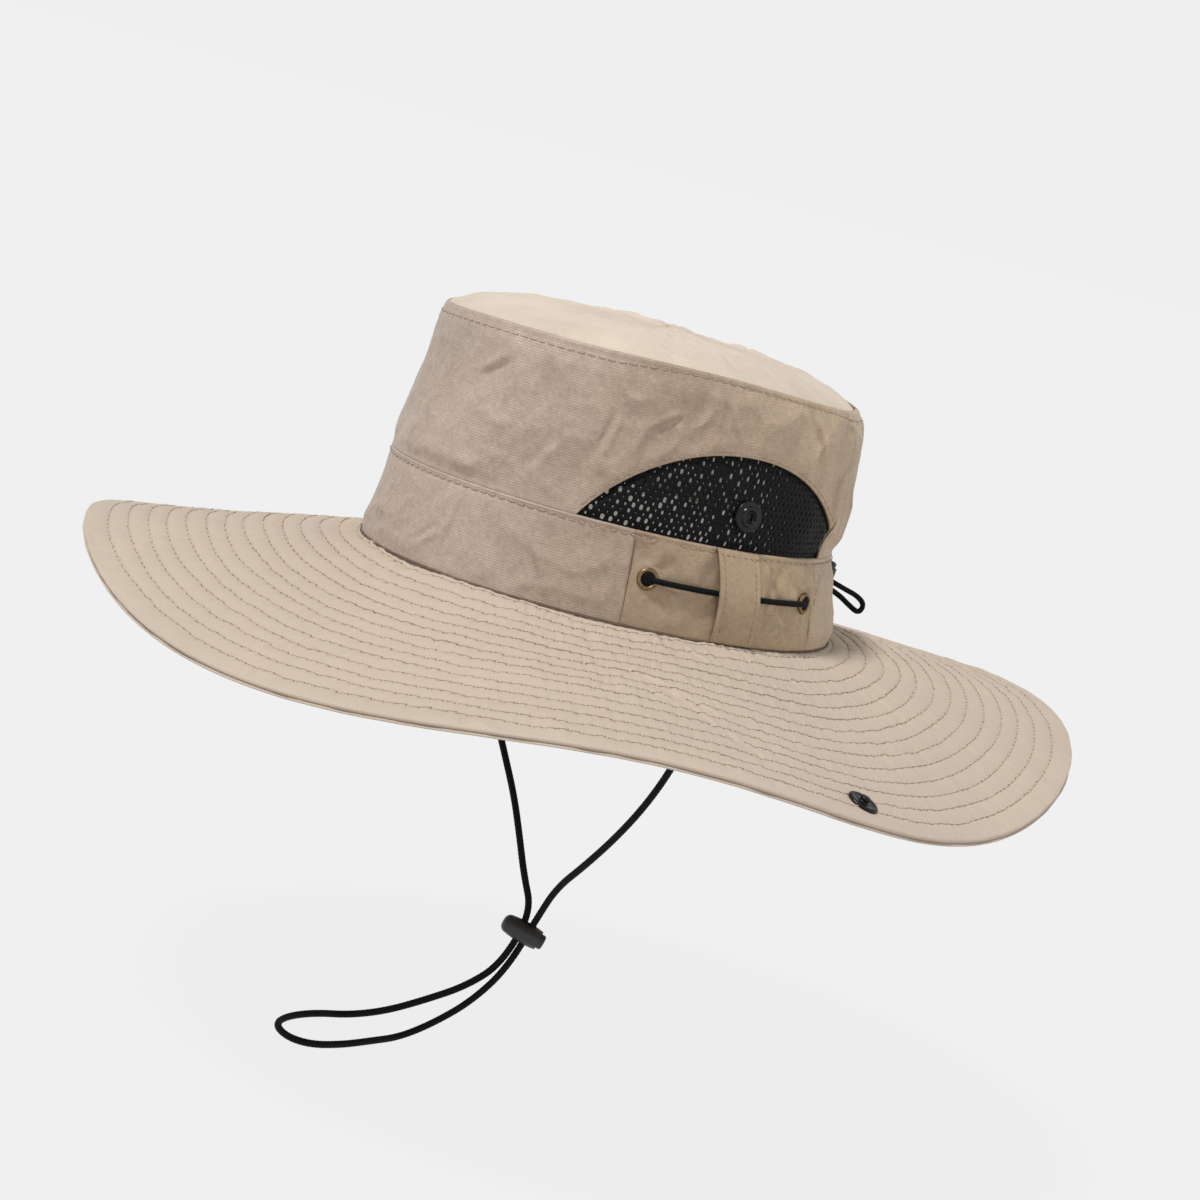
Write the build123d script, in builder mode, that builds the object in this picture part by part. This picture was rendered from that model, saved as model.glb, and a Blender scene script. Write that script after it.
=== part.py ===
"""Wide-brim boonie hat with mesh side vents, snap-up brim sides, drawcord and chin cord.

Millimetres. The origin is the middle of the head opening, in the plane of the seam between
crown and brim. +Z runs up the crown, the front of the hat faces -Y and the wearer's left is +X.
"""

from build123d import *
import os
from math import acos, asin, cos, pi, radians, sin, tan

# ---------------------------------------------------------------- driving dimensions

HEAD_LENGTH = 204.0        # outside of the crown at its base, front to back
HEAD_WIDTH = 178.0         # outside of the crown at its base, side to side
CROWN_HEIGHT = 99.0
CROWN_INSET = 10.3         # how far the crown wall leans in, base to top, on each side
BAND_HEIGHT = 36.0
BRIM_WIDTH = 109.6         # horizontal, from the crown seam to the edge

FABRIC = 1.2               # a sewn wall of the crown
BAND_FABRIC = 1.6          # the doubled band
MESH = 0.8
SWEATBAND = 1.0
SWEATBAND_HEIGHT = 34.0
CHANNEL = 3.4              # room between band and sweatband, where the drawcord runs

BRIM_COVER = 0.8           # upper and lower cloth of the brim
BRIM_FILLER = 1.4          # stiff interlining between them
EDGE_RISE = 1.5            # top of the brim above its middle surface, at the edge
# height of the brim's edge, every 30 degrees from the wearer's left round to the rear
EDGE_HEIGHTS = (-37.0, -34.5, -13.0, -12.0, -18.5, -19.0, -29.0, -31.5, -20.5, -35.5, -40.0, -27.5)

FOLD_X = 120.5             # where each side of the brim folds up
FOLD_GAP = 0.4             # between the fixed brim and a flap

SIDE_FRONT = -44.0         # seams at the ends of a side panel
SIDE_REAR = 49.0
KEEPER_WIDTH = 20.0
KEEPER_LIFT = 4.0          # room under the keeper for the drawcord

EYELET_HOLE = 2.5          # radii of the brass eyelets
EYELET_BARREL = 3.0
EYELET_RIM = 4.5
EYELET_SHEET = 0.6
EYELET_DEPTH = 1.75        # its inner rim clears the curved band
EYELET_FRONT = -38.0
EYELET_REAR = 42.0
EYELET_HEIGHT = 19.0
BACK_EYELET_X = 5.0
BACK_EYELET_HEIGHT = 17.0

SNAP_RADIUS = 6.25         # standard 12.5 mm snap fasteners
SNAP_SHANK = 1.5
SNAP_SEAT = 0.25           # flat snap parts stand this clear of curved cloth
SNAP_PLATE = 1.2
SOCKET_HEIGHT = 2.3
SOCKET_HOLE = 2.5
STUD_RADIUS = 2.1
STUD_HEIGHT = 2.9
CROWN_SNAP = (-1.6, 50.0)  # y and z of the socket on each mesh panel
BRIM_SNAP = (186.0, 3.5)   # x and y of the stud on each brim flap

DRAWCORD = 2.4             # diameters
CHIN_CORD = 3.0
KNOT_RADIUS = 3.4
KNOT_THICKNESS = 2.2
CORD_LIFT = 2.3            # middle of the drawcord over the side panels
CORD_DEPTH = -3.65         # middle of the drawcord in its channel
CHANNEL_RUNS = 12

LOCK_RADIUS = 4.7          # barrel cord locks
LOCK_LOW = -10.0           # closed end of the barrel, from the middle of its cord hole
LOCK_HIGH = 6.9            # open end
LOCK_FLOOR = -7.8          # bottom of the bore
BORE_RADIUS = 3.5
BUTTON_RADIUS = 3.2
BUTTON_LOW = -4.9
BUTTON_HIGH = 9.2
BUTTON_TRAVEL = 1.8
CORD_HOLE = 3.5            # half height of the hole, which passes two strands
CORD_HOLE_HALF_WIDTH = 2.0
SPRING_OUTSIDE = 2.7
SPRING_INSIDE = 2.0
STRAND_SPACING = 3.1

CHIN_LOCK = Vector(6.6, 5.0, -150.5)
CHIN_LOCK_CORD = Vector(-0.16, -0.21, -0.965).normalized()
CHIN_LOCK_AXIS = Vector(0.577, 0.77, -0.27)
BACK_LOCK = Vector(0, 115.5, 17.0)
BACK_LOCK_CORD = Vector(0, 0.96, -0.28).normalized()
BACK_LOCK_AXIS = Vector(0, 0.28, 0.96)

TAB_WIDTH = 12.0           # cloth tabs that hold the chin cord
TAB_THICKNESS = 3.2
TAB_DROP = 9.0
TAB_X = 85.2

os.makedirs("parts", exist_ok=True)


def save(part, name):
    """Labels a finished piece and writes its STEP."""
    part.label = name
    export_step(part, f"parts/{name}.step")


def mirrored(part):
    """The same piece on the wearer's other side."""
    with BuildPart() as twin:
        add(part)
        mirror(about=Plane.YZ, mode=Mode.REPLACE)
    return twin.part


# ---------------------------------------------------------------- the crown's oval

def half_axes(height, out=0.0):
    """Half width and half length of the crown's oval at a height."""
    inset = CROWN_INSET * height / CROWN_HEIGHT
    return HEAD_WIDTH / 2 - inset + out, HEAD_LENGTH / 2 - inset + out


def outward(turn, height):
    """The crown wall's horizontal normal."""
    across, along = half_axes(height)
    return Vector(along * cos(turn), across * sin(turn), 0).normalized()


def on_wall(turn, height, out=0.0):
    """A point on the crown wall, or that far outside it."""
    across, along = half_axes(height)
    return Vector(across * cos(turn), along * sin(turn), height) + outward(turn, height) * out


def turn_at_y(y, height):
    """The oval's parameter where its left side passes y."""
    return asin(y / half_axes(height)[1])


def turn_at_back(x, height):
    """The oval's parameter where its rear passes x."""
    return acos(x / half_axes(height)[0])


def wall_plane(turn, height, out=0.0):
    """A plane on the crown wall, facing out."""
    normal = outward(turn, height) + Vector(0, 0, CROWN_INSET / CROWN_HEIGHT)
    return Plane(on_wall(turn, height, out), x_dir=(0, 0, 1), z_dir=normal)


def ring(low, high, outside, inside):
    """A closed ring of the crown wall, between two heights and two offsets."""
    with BuildPart() as wall:
        for out, mode in ((outside, Mode.ADD), (inside, Mode.SUBTRACT)):
            for height in (low, high):
                with BuildSketch(Plane.XY.offset(height)):
                    Ellipse(*half_axes(height, out))
            loft(mode=mode)
    return wall.part


def pierce(plane, radius):
    """A round hole through the wall."""
    with BuildSketch(plane) as hole:
        Circle(radius)
    extrude(hole.sketch, amount=2 * CHANNEL, both=True, mode=Mode.SUBTRACT)


# ---------------------------------------------------------------- crown and mesh vents

def vent_window(mode):
    """The arched window over the band, pushed out through the left side."""
    with BuildSketch(Plane.YZ) as outline:
        with BuildLine():
            ThreePointArc((-66, BAND_HEIGHT), (-43, 61), (-8, 72))
            ThreePointArc((-8, 72), (29, 66), (57, 48))
            Line((57, 48), (54, BAND_HEIGHT))
            Line((54, BAND_HEIGHT), (-66, BAND_HEIGHT))
        make_face()
    extrude(outline.sketch, amount=HEAD_WIDTH, mode=mode)


def snap_plane():
    """On the left mesh panel, where the snap sits, facing out."""
    y, height = CROWN_SNAP
    return wall_plane(turn_at_y(y, height), height)


with BuildPart() as crown_top:
    with BuildSketch(Plane.XY.offset(CROWN_HEIGHT - FABRIC)):
        Ellipse(*half_axes(CROWN_HEIGHT))
    extrude(amount=FABRIC)
save(crown_top.part, "crown_top")

with BuildPart() as crown_side:
    add(ring(BAND_HEIGHT, CROWN_HEIGHT - FABRIC, 0, -FABRIC))
    vent_window(Mode.SUBTRACT)
    mirror(about=Plane.YZ, mode=Mode.INTERSECT)
save(crown_side.part, "crown_side")

with BuildPart() as mesh_left:
    add(ring(BAND_HEIGHT, CROWN_HEIGHT - FABRIC, -0.2, -0.2 - MESH))
    vent_window(Mode.INTERSECT)
    pierce(snap_plane(), SNAP_SHANK)
save(mesh_left.part, "mesh_left")
save(mirrored(mesh_left.part), "mesh_right")


# ---------------------------------------------------------------- band, keepers, sweatband

def side_slab(front, rear):
    """The space left of the middle between two seams, as an intersecting block."""
    with Locations((HEAD_WIDTH / 2, (front + rear) / 2, BAND_HEIGHT / 2)):
        Box(HEAD_WIDTH / 2, rear - front, BAND_HEIGHT * 2, mode=Mode.INTERSECT)


def eyelet_planes():
    """Where the front and rear eyelets of the left side panel sit."""
    for y in (EYELET_FRONT, EYELET_REAR):
        yield wall_plane(turn_at_y(y, EYELET_HEIGHT), EYELET_HEIGHT)


def back_eyelet_planes():
    """Where the two rear eyelets sit."""
    for x in (BACK_EYELET_X, -BACK_EYELET_X):
        yield wall_plane(turn_at_back(x, BACK_EYELET_HEIGHT), BACK_EYELET_HEIGHT)


def eyelet(plane):
    """A brass eyelet: a barrel through the band with a rim on each face."""
    section = Plane(plane.origin, x_dir=plane.x_dir, z_dir=plane.y_dir)
    with BuildPart() as ferrule:
        with BuildSketch(section):
            with BuildLine():
                Polyline(
                    (EYELET_HOLE, EYELET_DEPTH + EYELET_SHEET),
                    (EYELET_RIM, EYELET_DEPTH + EYELET_SHEET),
                    (EYELET_RIM, EYELET_DEPTH),
                    (EYELET_BARREL, EYELET_DEPTH),
                    (EYELET_BARREL, 0),
                    (EYELET_RIM, 0),
                    (EYELET_RIM, -EYELET_SHEET),
                    (EYELET_HOLE, -EYELET_SHEET),
                    close=True,
                )
            make_face()
        revolve(axis=Axis(plane.origin, plane.z_dir))
    return ferrule.part


band = ring(0, BAND_HEIGHT, 0, -BAND_FABRIC)

with BuildPart() as side_panel_left:
    add(band)
    side_slab(SIDE_FRONT, SIDE_REAR)
    for plane in eyelet_planes():
        pierce(plane, EYELET_BARREL)
save(side_panel_left.part, "side_panel_left")
save(mirrored(side_panel_left.part), "side_panel_right")

with BuildPart() as band_front:
    add(band)
    with Locations((0, SIDE_FRONT - HEAD_LENGTH / 2, BAND_HEIGHT / 2)):
        Box(HEAD_LENGTH, HEAD_LENGTH, BAND_HEIGHT * 2, mode=Mode.INTERSECT)
save(band_front.part, "band_front")

with BuildPart() as band_rear:
    add(band)
    with Locations((0, SIDE_REAR + HEAD_LENGTH / 2, BAND_HEIGHT / 2)):
        Box(HEAD_LENGTH, HEAD_LENGTH, BAND_HEIGHT * 2, mode=Mode.INTERSECT)
    for plane in back_eyelet_planes():
        pierce(plane, EYELET_BARREL)
save(band_rear.part, "band_rear")

for name, planes in (("eyelets_left", eyelet_planes()), ("eyelets_rear", back_eyelet_planes())):
    with BuildPart() as eyelets:
        for plane in planes:
            add(eyelet(plane))
    save(eyelets.part, name)
    if name == "eyelets_left":
        save(mirrored(eyelets.part), "eyelets_right")

with BuildPart() as keeper_left:
    foot = HEAD_WIDTH / 2 + 0.05
    head = half_axes(BAND_HEIGHT)[0] + 0.05
    with BuildSketch(Plane.XZ):
        with BuildLine():
            inner = Polyline(
                (foot, 0),
                (foot - 0.4, 5),
                (foot + KEEPER_LIFT - 1.1, 10),
                (foot + KEEPER_LIFT - 2.9, 27),
                (head + 0.4, 32),
                (head, BAND_HEIGHT),
            )
            offset(inner, amount=FABRIC, side=Side.RIGHT)
        make_face()
    extrude(amount=KEEPER_WIDTH / 2, both=True)
save(keeper_left.part, "keeper_left")
save(mirrored(keeper_left.part), "keeper_right")

band_inside = -BAND_FABRIC
sweatband_outside = band_inside - CHANNEL
sweatband_inside = sweatband_outside - SWEATBAND
with BuildPart() as sweatband:
    add(ring(SWEATBAND, SWEATBAND_HEIGHT, sweatband_outside, sweatband_inside))
    add(ring(0, SWEATBAND, band_inside, sweatband_inside))
save(sweatband.part, "sweatband")


# ---------------------------------------------------------------- brim

def rim(out, heights):
    """A closed wavy oval round the crown, with a height every 30 degrees."""
    across, along = half_axes(0, out)
    points = []
    for index, height in enumerate(heights):
        turn = 2 * pi * index / len(heights)
        points.append((across * cos(turn), along * sin(turn), height))
    return Spline(*points, periodic=True)


def brim_layer(depth, thickness):
    """A whole layer of the brim, its top face that far under the brim's top."""
    inner = rim(band_inside, [-depth] * len(EDGE_HEIGHTS))
    outer = rim(BRIM_WIDTH, [height + EDGE_RISE - depth for height in EDGE_HEIGHTS])
    top = Face.make_surface_from_curves(inner.edge(), outer.edge())
    return Solid.extrude(top, Vector(0, 0, -thickness))


def folded(layer, name):
    """Splits a brim layer into the fixed brim and its two side flaps, and saves all three."""
    near = FOLD_X - FOLD_GAP / 2
    far = FOLD_X + FOLD_GAP / 2
    with BuildPart() as middle:
        add(layer)
        split(bisect_by=Plane.YZ.offset(near), keep=Keep.BOTTOM)
        split(bisect_by=Plane.YZ.offset(-near), keep=Keep.TOP)
    save(middle.part, name)
    for side, keep, seat in ((1, Keep.TOP, brim_seats["left"]), (-1, Keep.BOTTOM, brim_seats["right"])):
        with BuildPart() as flap:
            add(layer)
            split(bisect_by=Plane.YZ.offset(side * far), keep=keep)
            pierce(seat, SNAP_SHANK)
        save(flap.part, f"{'left' if side > 0 else 'right'}_flap_{name.removeprefix('brim_')}")


def seat_on(layer, x, y):
    """A plane on a layer's top face, facing up out of the cloth."""
    hits = layer.find_intersection_points(Axis((x, y, CROWN_HEIGHT), (0, 0, -1)))
    point, normal = max(hits, key=lambda hit: hit[0].Z)
    if normal.Z < 0:
        normal = -normal
    return Plane(point, x_dir=(0, 1, 0), z_dir=normal)


brim_upper = brim_layer(0, BRIM_COVER)
brim_filler = brim_layer(BRIM_COVER, BRIM_FILLER)
brim_lower = brim_layer(BRIM_COVER + BRIM_FILLER, BRIM_COVER)
brim_seats = {
    "left": seat_on(brim_upper, *BRIM_SNAP),
    "right": seat_on(brim_upper, -BRIM_SNAP[0], BRIM_SNAP[1]),
}
folded(brim_upper, "brim_upper")
folded(brim_filler, "brim_filler")
folded(brim_lower, "brim_lower")


# ---------------------------------------------------------------- snap fasteners

def turned(plane, *corners):
    """A solid turned about a plane's normal, from its half section (radius, height)."""
    section = Plane(plane.origin, x_dir=plane.x_dir, z_dir=-plane.y_dir)
    with BuildPart() as round_part:
        with BuildSketch(section):
            with BuildLine():
                Polyline(*corners, close=True)
            make_face()
        revolve(axis=Axis(plane.origin, plane.z_dir))
    return round_part.part


def socket(plane):
    """The hollow half of a snap, with a stepped rim round its hole."""
    base = SNAP_SEAT
    return turned(
        plane, (0, base), (SNAP_RADIUS, base), (SNAP_RADIUS, base + 1.0),
        (SNAP_RADIUS - 0.7, base + 1.5), (4.2, base + 1.3), (3.9, base + SOCKET_HEIGHT),
        (SOCKET_HOLE + 0.3, base + SOCKET_HEIGHT), (SOCKET_HOLE, base + SOCKET_HEIGHT - 0.3),
        (SOCKET_HOLE, base + 0.5), (0, base + 0.5),
    )


def stud(plane):
    """The raised half of a snap."""
    base = SNAP_SEAT
    return turned(
        plane, (0, base), (SNAP_RADIUS, base), (SNAP_RADIUS, base + 0.7),
        (SNAP_RADIUS - 0.6, base + 1.1), (3.0, base + 0.8), (STUD_RADIUS - 0.3, base + 1.1),
        (STUD_RADIUS, base + STUD_HEIGHT - 0.7), (STUD_RADIUS - 0.4, base + STUD_HEIGHT),
        (0, base + STUD_HEIGHT),
    )


def cap(plane, cloth):
    """The plain cap on the far side of the cloth, with the shank that goes through."""
    face = -cloth - SNAP_SEAT
    return turned(
        plane, (0, SNAP_SEAT), (SNAP_SHANK, SNAP_SEAT), (SNAP_SHANK, face), (SNAP_RADIUS, face),
        (SNAP_RADIUS, face - 0.6), (SNAP_RADIUS - 1.2, face - SNAP_PLATE), (0, face - SNAP_PLATE),
    )


crown_socket = socket(snap_plane())
save(crown_socket, "crown_snap_left")
save(mirrored(crown_socket), "crown_snap_right")
crown_cap = cap(snap_plane(), MESH + 0.2)
save(crown_cap, "crown_snap_cap_left")
save(mirrored(crown_cap), "crown_snap_cap_right")
for side, seat in brim_seats.items():
    cloth = (2 * BRIM_COVER + BRIM_FILLER) * seat.z_dir.Z
    save(stud(seat), f"brim_snap_{side}")
    save(cap(seat, cloth), f"brim_snap_cap_{side}")


# ---------------------------------------------------------------- cords

def tube(name, route, diameter):
    """A cord: straight runs joined by arcs as large as the runs allow."""
    points = [Vector(*point) for point in route]
    bends = []
    for before, here, after in zip(points, points[1:], points[2:]):
        run = min((here - before).length, (after - here).length)
        half_turn = radians((here - before).get_angle(after - here) / 2)
        bends.append(0.45 * run / tan(half_turn))
    with BuildPart() as cord:
        with BuildLine() as path:
            FilletPolyline(*points, radius=bends)
        with BuildSketch(Plane(points[0], z_dir=points[1] - points[0])) as section:
            Circle(diameter / 2)
        sweep(section.sketch, path=path.wires()[0])
    length = path.wires()[0].length
    ideal = pi * diameter**2 / 4 * length
    print(f"{name}: {length:.1f} long, radii {min(bends):.1f} to {max(bends):.0f}, "
          f"volume {cord.part.volume / ideal:.4f} of section times length")
    print("   each radius:", *(round(bend, 1) for bend in bends))
    return cord.part


def drawcord_run():
    """The left half of the drawcord: knot, side stretch, and the channel to the back."""
    front = turn_at_y(EYELET_FRONT, EYELET_HEIGHT)
    rear = turn_at_y(EYELET_REAR, EYELET_HEIGHT)
    back = turn_at_back(BACK_EYELET_X, BACK_EYELET_HEIGHT)
    route = [on_wall(front, EYELET_HEIGHT, CORD_DEPTH), on_wall(front, EYELET_HEIGHT, CORD_LIFT)]
    for y in (-20, 1, 22):
        route.append(on_wall(turn_at_y(y, EYELET_HEIGHT), EYELET_HEIGHT, CORD_LIFT))
    route.append(on_wall(rear, EYELET_HEIGHT, CORD_LIFT))
    for step in range(CHANNEL_RUNS + 1):
        share = step / CHANNEL_RUNS
        height = EYELET_HEIGHT + (BACK_EYELET_HEIGHT - EYELET_HEIGHT) * share
        route.append(on_wall(rear + (back - rear) * share, height, CORD_DEPTH))
    route.append(Vector(*BACK_EXIT))
    return route


# The free loop behind the hat: out of the left rear eyelet, through the lock, round its
# end and back through the lock into the right rear eyelet.
BACK_EXIT = (5.0, 101.0, 17.0)
BACK_LOOP = (
    BACK_EXIT,
    (4.2, 105.3, 17.6),
    (0.0, 110.2, 20.2),
    (0.0, 129.4, 14.6),
    (0.0, 138.2, 12.4),
    (0.0, 143.8, 9.0),
    (0.0, 141.8, 4.6),
    (0.0, 135.2, 7.6),
    (0.0, 126.6, 12.1),
    (0.0, 109.3, 17.2),
    (-4.2, 105.3, 17.1),
    (-5.0, 101.0, 17.0),
)

# From the left tab down to the lock, on to the floor, round the squared end of the loop,
# back up through the lock and on to the right tab.
CHIN_ROUTE = (
    (TAB_X, 0.0, -TAB_DROP),
    (TAB_X, 0.0, -21.0),
    (83.5, 0.4, -38.0),
    (77.0, 0.8, -56.0),
    (66.5, 1.4, -74.5),
    (53.0, 2.0, -92.5),
    (37.0, 3.0, -110.0),
    (20.5, 4.8, -125.5),
    (8.9, 8.1, -142.2),
    (4.7, 2.6, -167.3),
    (0.0, -7.0, -184.0),
    (-6.0, -18.0, -196.5),
    (-10.0, -31.0, -205.5),
    (-4.0, -49.0, -205.5),
    (1.5, -66.0, -205.5),
    (3.0, -82.0, -205.5),
    (-5.0, -89.5, -205.5),
    (-19.0, -87.0, -205.5),
    (-28.5, -75.5, -205.5),
    (-33.5, -59.0, -205.5),
    (-33.0, -43.0, -205.5),
    (-24.0, -31.5, -199.5),
    (-13.5, -20.0, -189.5),
    (-4.5, -9.0, -179.5),
    (2.9, 0.2, -166.5),
    (7.1, 5.7, -141.5),
    (-4.0, 4.8, -128.5),
    (-13.0, 4.0, -114.5),
    (-23.5, 3.4, -100.0),
    (-38.0, 2.5, -84.5),
    (-53.0, 1.8, -69.0),
    (-67.0, 1.0, -53.5),
    (-79.5, 0.4, -37.0),
    (-TAB_X, 0.0, -21.0),
    (-TAB_X, 0.0, -TAB_DROP),
)

with BuildPart() as drawcord_left:
    add(tube("drawcord_left", drawcord_run(), DRAWCORD))
    knot_plane = next(eyelet_planes()).offset(CORD_DEPTH)
    with BuildSketch(knot_plane) as knot:
        Circle(KNOT_RADIUS)
    extrude(knot.sketch, amount=KNOT_THICKNESS / 2, both=True)
save(drawcord_left.part, "drawcord_left")
save(mirrored(drawcord_left.part), "drawcord_right")
save(tube("drawcord_loop", BACK_LOOP, DRAWCORD), "drawcord_loop")
save(tube("chin_cord", CHIN_ROUTE, CHIN_CORD), "chin_cord")

for side, name in ((1, "chin_tab_left"), (-1, "chin_tab_right")):
    with BuildPart() as tab:
        with Locations((side * TAB_X, 0, 0)):
            Box(
                TAB_THICKNESS, TAB_WIDTH, TAB_DROP,
                align=(Align.CENTER, Align.CENTER, Align.MAX),
            )
        fillet(tab.faces().sort_by(Axis.Z)[0].edges().filter_by(Axis.X), radius=2.0)
    save(tab.part, name)


# ---------------------------------------------------------------- cord locks

def lock_body():
    """A rounded barrel with a bore for the button and a hole across for the cord."""
    with BuildPart() as barrel:
        with BuildSketch(Plane.XZ):
            with BuildLine():
                wall = LOCK_RADIUS - 0.7
                ThreePointArc((0, LOCK_LOW), (0.78 * wall, LOCK_LOW + 0.7), (wall, LOCK_LOW + 2.8))
                ThreePointArc((wall, LOCK_LOW + 2.8), (LOCK_RADIUS, -1.0), (wall + 0.1, LOCK_HIGH))
                Polyline(
                    (wall + 0.1, LOCK_HIGH), (BORE_RADIUS, LOCK_HIGH), (BORE_RADIUS, LOCK_FLOOR),
                    (0, LOCK_FLOOR), (0, LOCK_LOW),
                )
            make_face()
        revolve(axis=Axis.Z)
        with BuildSketch(Plane.YZ):
            RectangleRounded(2 * CORD_HOLE_HALF_WIDTH, 2 * CORD_HOLE, radius=1.4)
        extrude(amount=LOCK_RADIUS * 2, both=True, mode=Mode.SUBTRACT)
    return barrel.part


def lock_button():
    """The plunger, whose own cord hole clears the strands at both ends of its travel."""
    slot_high = CORD_HOLE + BUTTON_TRAVEL
    with BuildPart() as plunger:
        with BuildSketch(Plane.XY.offset(BUTTON_LOW)):
            Circle(BUTTON_RADIUS)
        extrude(amount=BUTTON_HIGH - BUTTON_LOW)
        fillet(plunger.faces().sort_by(Axis.Z)[-1].edges(), radius=1.0)
        with BuildSketch(Plane.YZ):
            with Locations((0, (slot_high - CORD_HOLE) / 2)):
                RectangleRounded(2 * CORD_HOLE_HALF_WIDTH, slot_high + CORD_HOLE, radius=1.4)
        extrude(amount=LOCK_RADIUS * 2, both=True, mode=Mode.SUBTRACT)
    return plunger.part


def lock_spring():
    """The closed coil spring, as the sleeve that it fills."""
    with BuildPart() as coil:
        with BuildSketch(Plane.XY.offset(LOCK_FLOOR)):
            Circle(SPRING_OUTSIDE)
            Circle(SPRING_INSIDE, mode=Mode.SUBTRACT)
        extrude(amount=BUTTON_LOW - LOCK_FLOOR)
    return coil.part


for name, middle, strands, axis in (
    ("chin_lock", CHIN_LOCK, CHIN_LOCK_CORD, CHIN_LOCK_AXIS),
    ("back_lock", BACK_LOCK, BACK_LOCK_CORD, BACK_LOCK_AXIS),
):
    square = (axis - strands * axis.dot(strands)).normalized()
    place = Plane(middle, x_dir=strands, z_dir=square).location
    print(name, "slides along", strands, "and its button along", square)
    save(lock_body().moved(place), f"{name}_body")
    save(lock_button().moved(place), f"{name}_button")
    save(lock_spring().moved(place), f"{name}_spring")
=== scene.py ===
"""Looks of the wide-brim boonie hat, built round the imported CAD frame.

Metres, in the frame's own axes: +Z up the crown, the front of the hat faces -Y, the wearer's
left is +X, and the origin is the middle of the head opening in the crown and brim's seam.
"""

from math import acos, atan2, cos, degrees, hypot, pi, radians, sin, sqrt

import bmesh
import bpy
import numpy as np
from mathutils import Matrix, Vector, noise


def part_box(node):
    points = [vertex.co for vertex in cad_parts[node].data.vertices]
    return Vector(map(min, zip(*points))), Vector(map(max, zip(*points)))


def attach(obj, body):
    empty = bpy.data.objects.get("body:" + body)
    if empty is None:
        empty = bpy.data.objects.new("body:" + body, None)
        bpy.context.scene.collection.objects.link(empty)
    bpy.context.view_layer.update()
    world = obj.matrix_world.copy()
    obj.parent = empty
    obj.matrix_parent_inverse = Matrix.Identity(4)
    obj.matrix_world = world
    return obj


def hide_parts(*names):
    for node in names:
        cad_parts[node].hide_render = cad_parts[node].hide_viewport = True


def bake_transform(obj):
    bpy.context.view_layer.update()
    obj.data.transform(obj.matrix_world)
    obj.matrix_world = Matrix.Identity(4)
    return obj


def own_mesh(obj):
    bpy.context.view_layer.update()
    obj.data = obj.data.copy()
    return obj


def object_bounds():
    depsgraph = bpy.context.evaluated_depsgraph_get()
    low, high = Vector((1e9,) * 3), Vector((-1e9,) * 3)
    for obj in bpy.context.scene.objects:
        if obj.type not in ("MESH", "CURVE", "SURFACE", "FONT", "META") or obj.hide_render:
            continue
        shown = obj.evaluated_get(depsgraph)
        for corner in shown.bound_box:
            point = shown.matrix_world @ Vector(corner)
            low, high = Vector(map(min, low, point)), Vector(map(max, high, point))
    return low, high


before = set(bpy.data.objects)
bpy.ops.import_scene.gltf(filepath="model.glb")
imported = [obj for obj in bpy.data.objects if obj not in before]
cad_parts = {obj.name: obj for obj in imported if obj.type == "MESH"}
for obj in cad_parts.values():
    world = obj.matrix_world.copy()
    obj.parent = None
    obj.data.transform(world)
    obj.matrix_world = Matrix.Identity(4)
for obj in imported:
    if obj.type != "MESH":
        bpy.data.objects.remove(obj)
cad_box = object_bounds()
scene = bpy.context.scene
MM = 0.001
SIDES = ((1, "left"), (-1, "right"))

# ---------------------------------------------------------------- sizes, read off the frame

HALF_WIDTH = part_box("side_panel_left")[1].x      # outside of the crown at its base
HALF_LENGTH = -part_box("band_front")[0].y
CROWN_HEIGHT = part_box("crown_top")[1].z
CROWN_INSET = HALF_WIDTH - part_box("crown_top")[1].x
BAND_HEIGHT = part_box("side_panel_left")[1].z
SIDE_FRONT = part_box("side_panel_left")[0].y
SIDE_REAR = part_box("side_panel_left")[1].y
FLOOR = cad_box[0].z
BAND_FABRIC = 1.6 * MM
BRIM_INNER = HALF_WIDTH - BAND_FABRIC            # half width of the brim's inner edge
BRIM_SPREAD = max(v.co.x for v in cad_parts["left_flap_upper"].data.vertices) - BRIM_INNER
BRIM_THICK = 3.0 * MM
EYELETS = ((-38 * MM, 19 * MM), (42 * MM, 19 * MM))    # y and z on each side panel
BACK_EYELET = (5 * MM, 17 * MM)                        # x and z
CROWN_SNAP = (-1.6 * MM, 50 * MM)                      # y and z on each mesh panel
BRIM_SNAP = (186 * MM, 3.5 * MM)                       # x and y on each flap
SEAM_LEVEL = 0.018                               # where the side panels' seams are measured
CROWN_RADIUS = 0.095                             # of the cloth's yarns, round the crown
FOLD_START, FOLD_END, FOLD_LEVEL = 0.1125, 0.1285, -0.007    # where the brim bends

# ---------------------------------------------------------------- camera, stage and light


def add(name, data):
    """A new object in the scene."""
    thing = bpy.data.objects.new(name, data)
    scene.collection.objects.link(thing)
    return thing


def toward(azimuth, elevation):
    """The direction of a bearing from the front and a height, both in degrees."""
    a, e = radians(azimuth), radians(elevation)
    return Vector((sin(a) * cos(e), -cos(a) * cos(e), sin(e)))


def camera():
    """A long lens level with the brim, rolled so that the hat leans as in the picture."""
    azimuth, elevation, roll, distance = 53.33, 8.2155, radians(15.07), 1.2393
    back = toward(azimuth, elevation)
    right = Vector((cos(radians(azimuth)), sin(radians(azimuth)), 0))
    up = back.cross(right)
    x_axis = right * cos(roll) + up * sin(roll)
    y_axis = up * cos(roll) - right * sin(roll)
    data = bpy.data.cameras.new("camera")
    data.sensor_width = 36
    data.lens = 90.26
    data.shift_x = 0.0011
    data.shift_y = -0.0142
    data.clip_end = 100
    view = add("camera", data)
    pose = Matrix((x_axis, y_axis, back)).transposed().to_4x4()
    pose.translation = back * distance
    view.matrix_world = pose
    scene.camera = view


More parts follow.
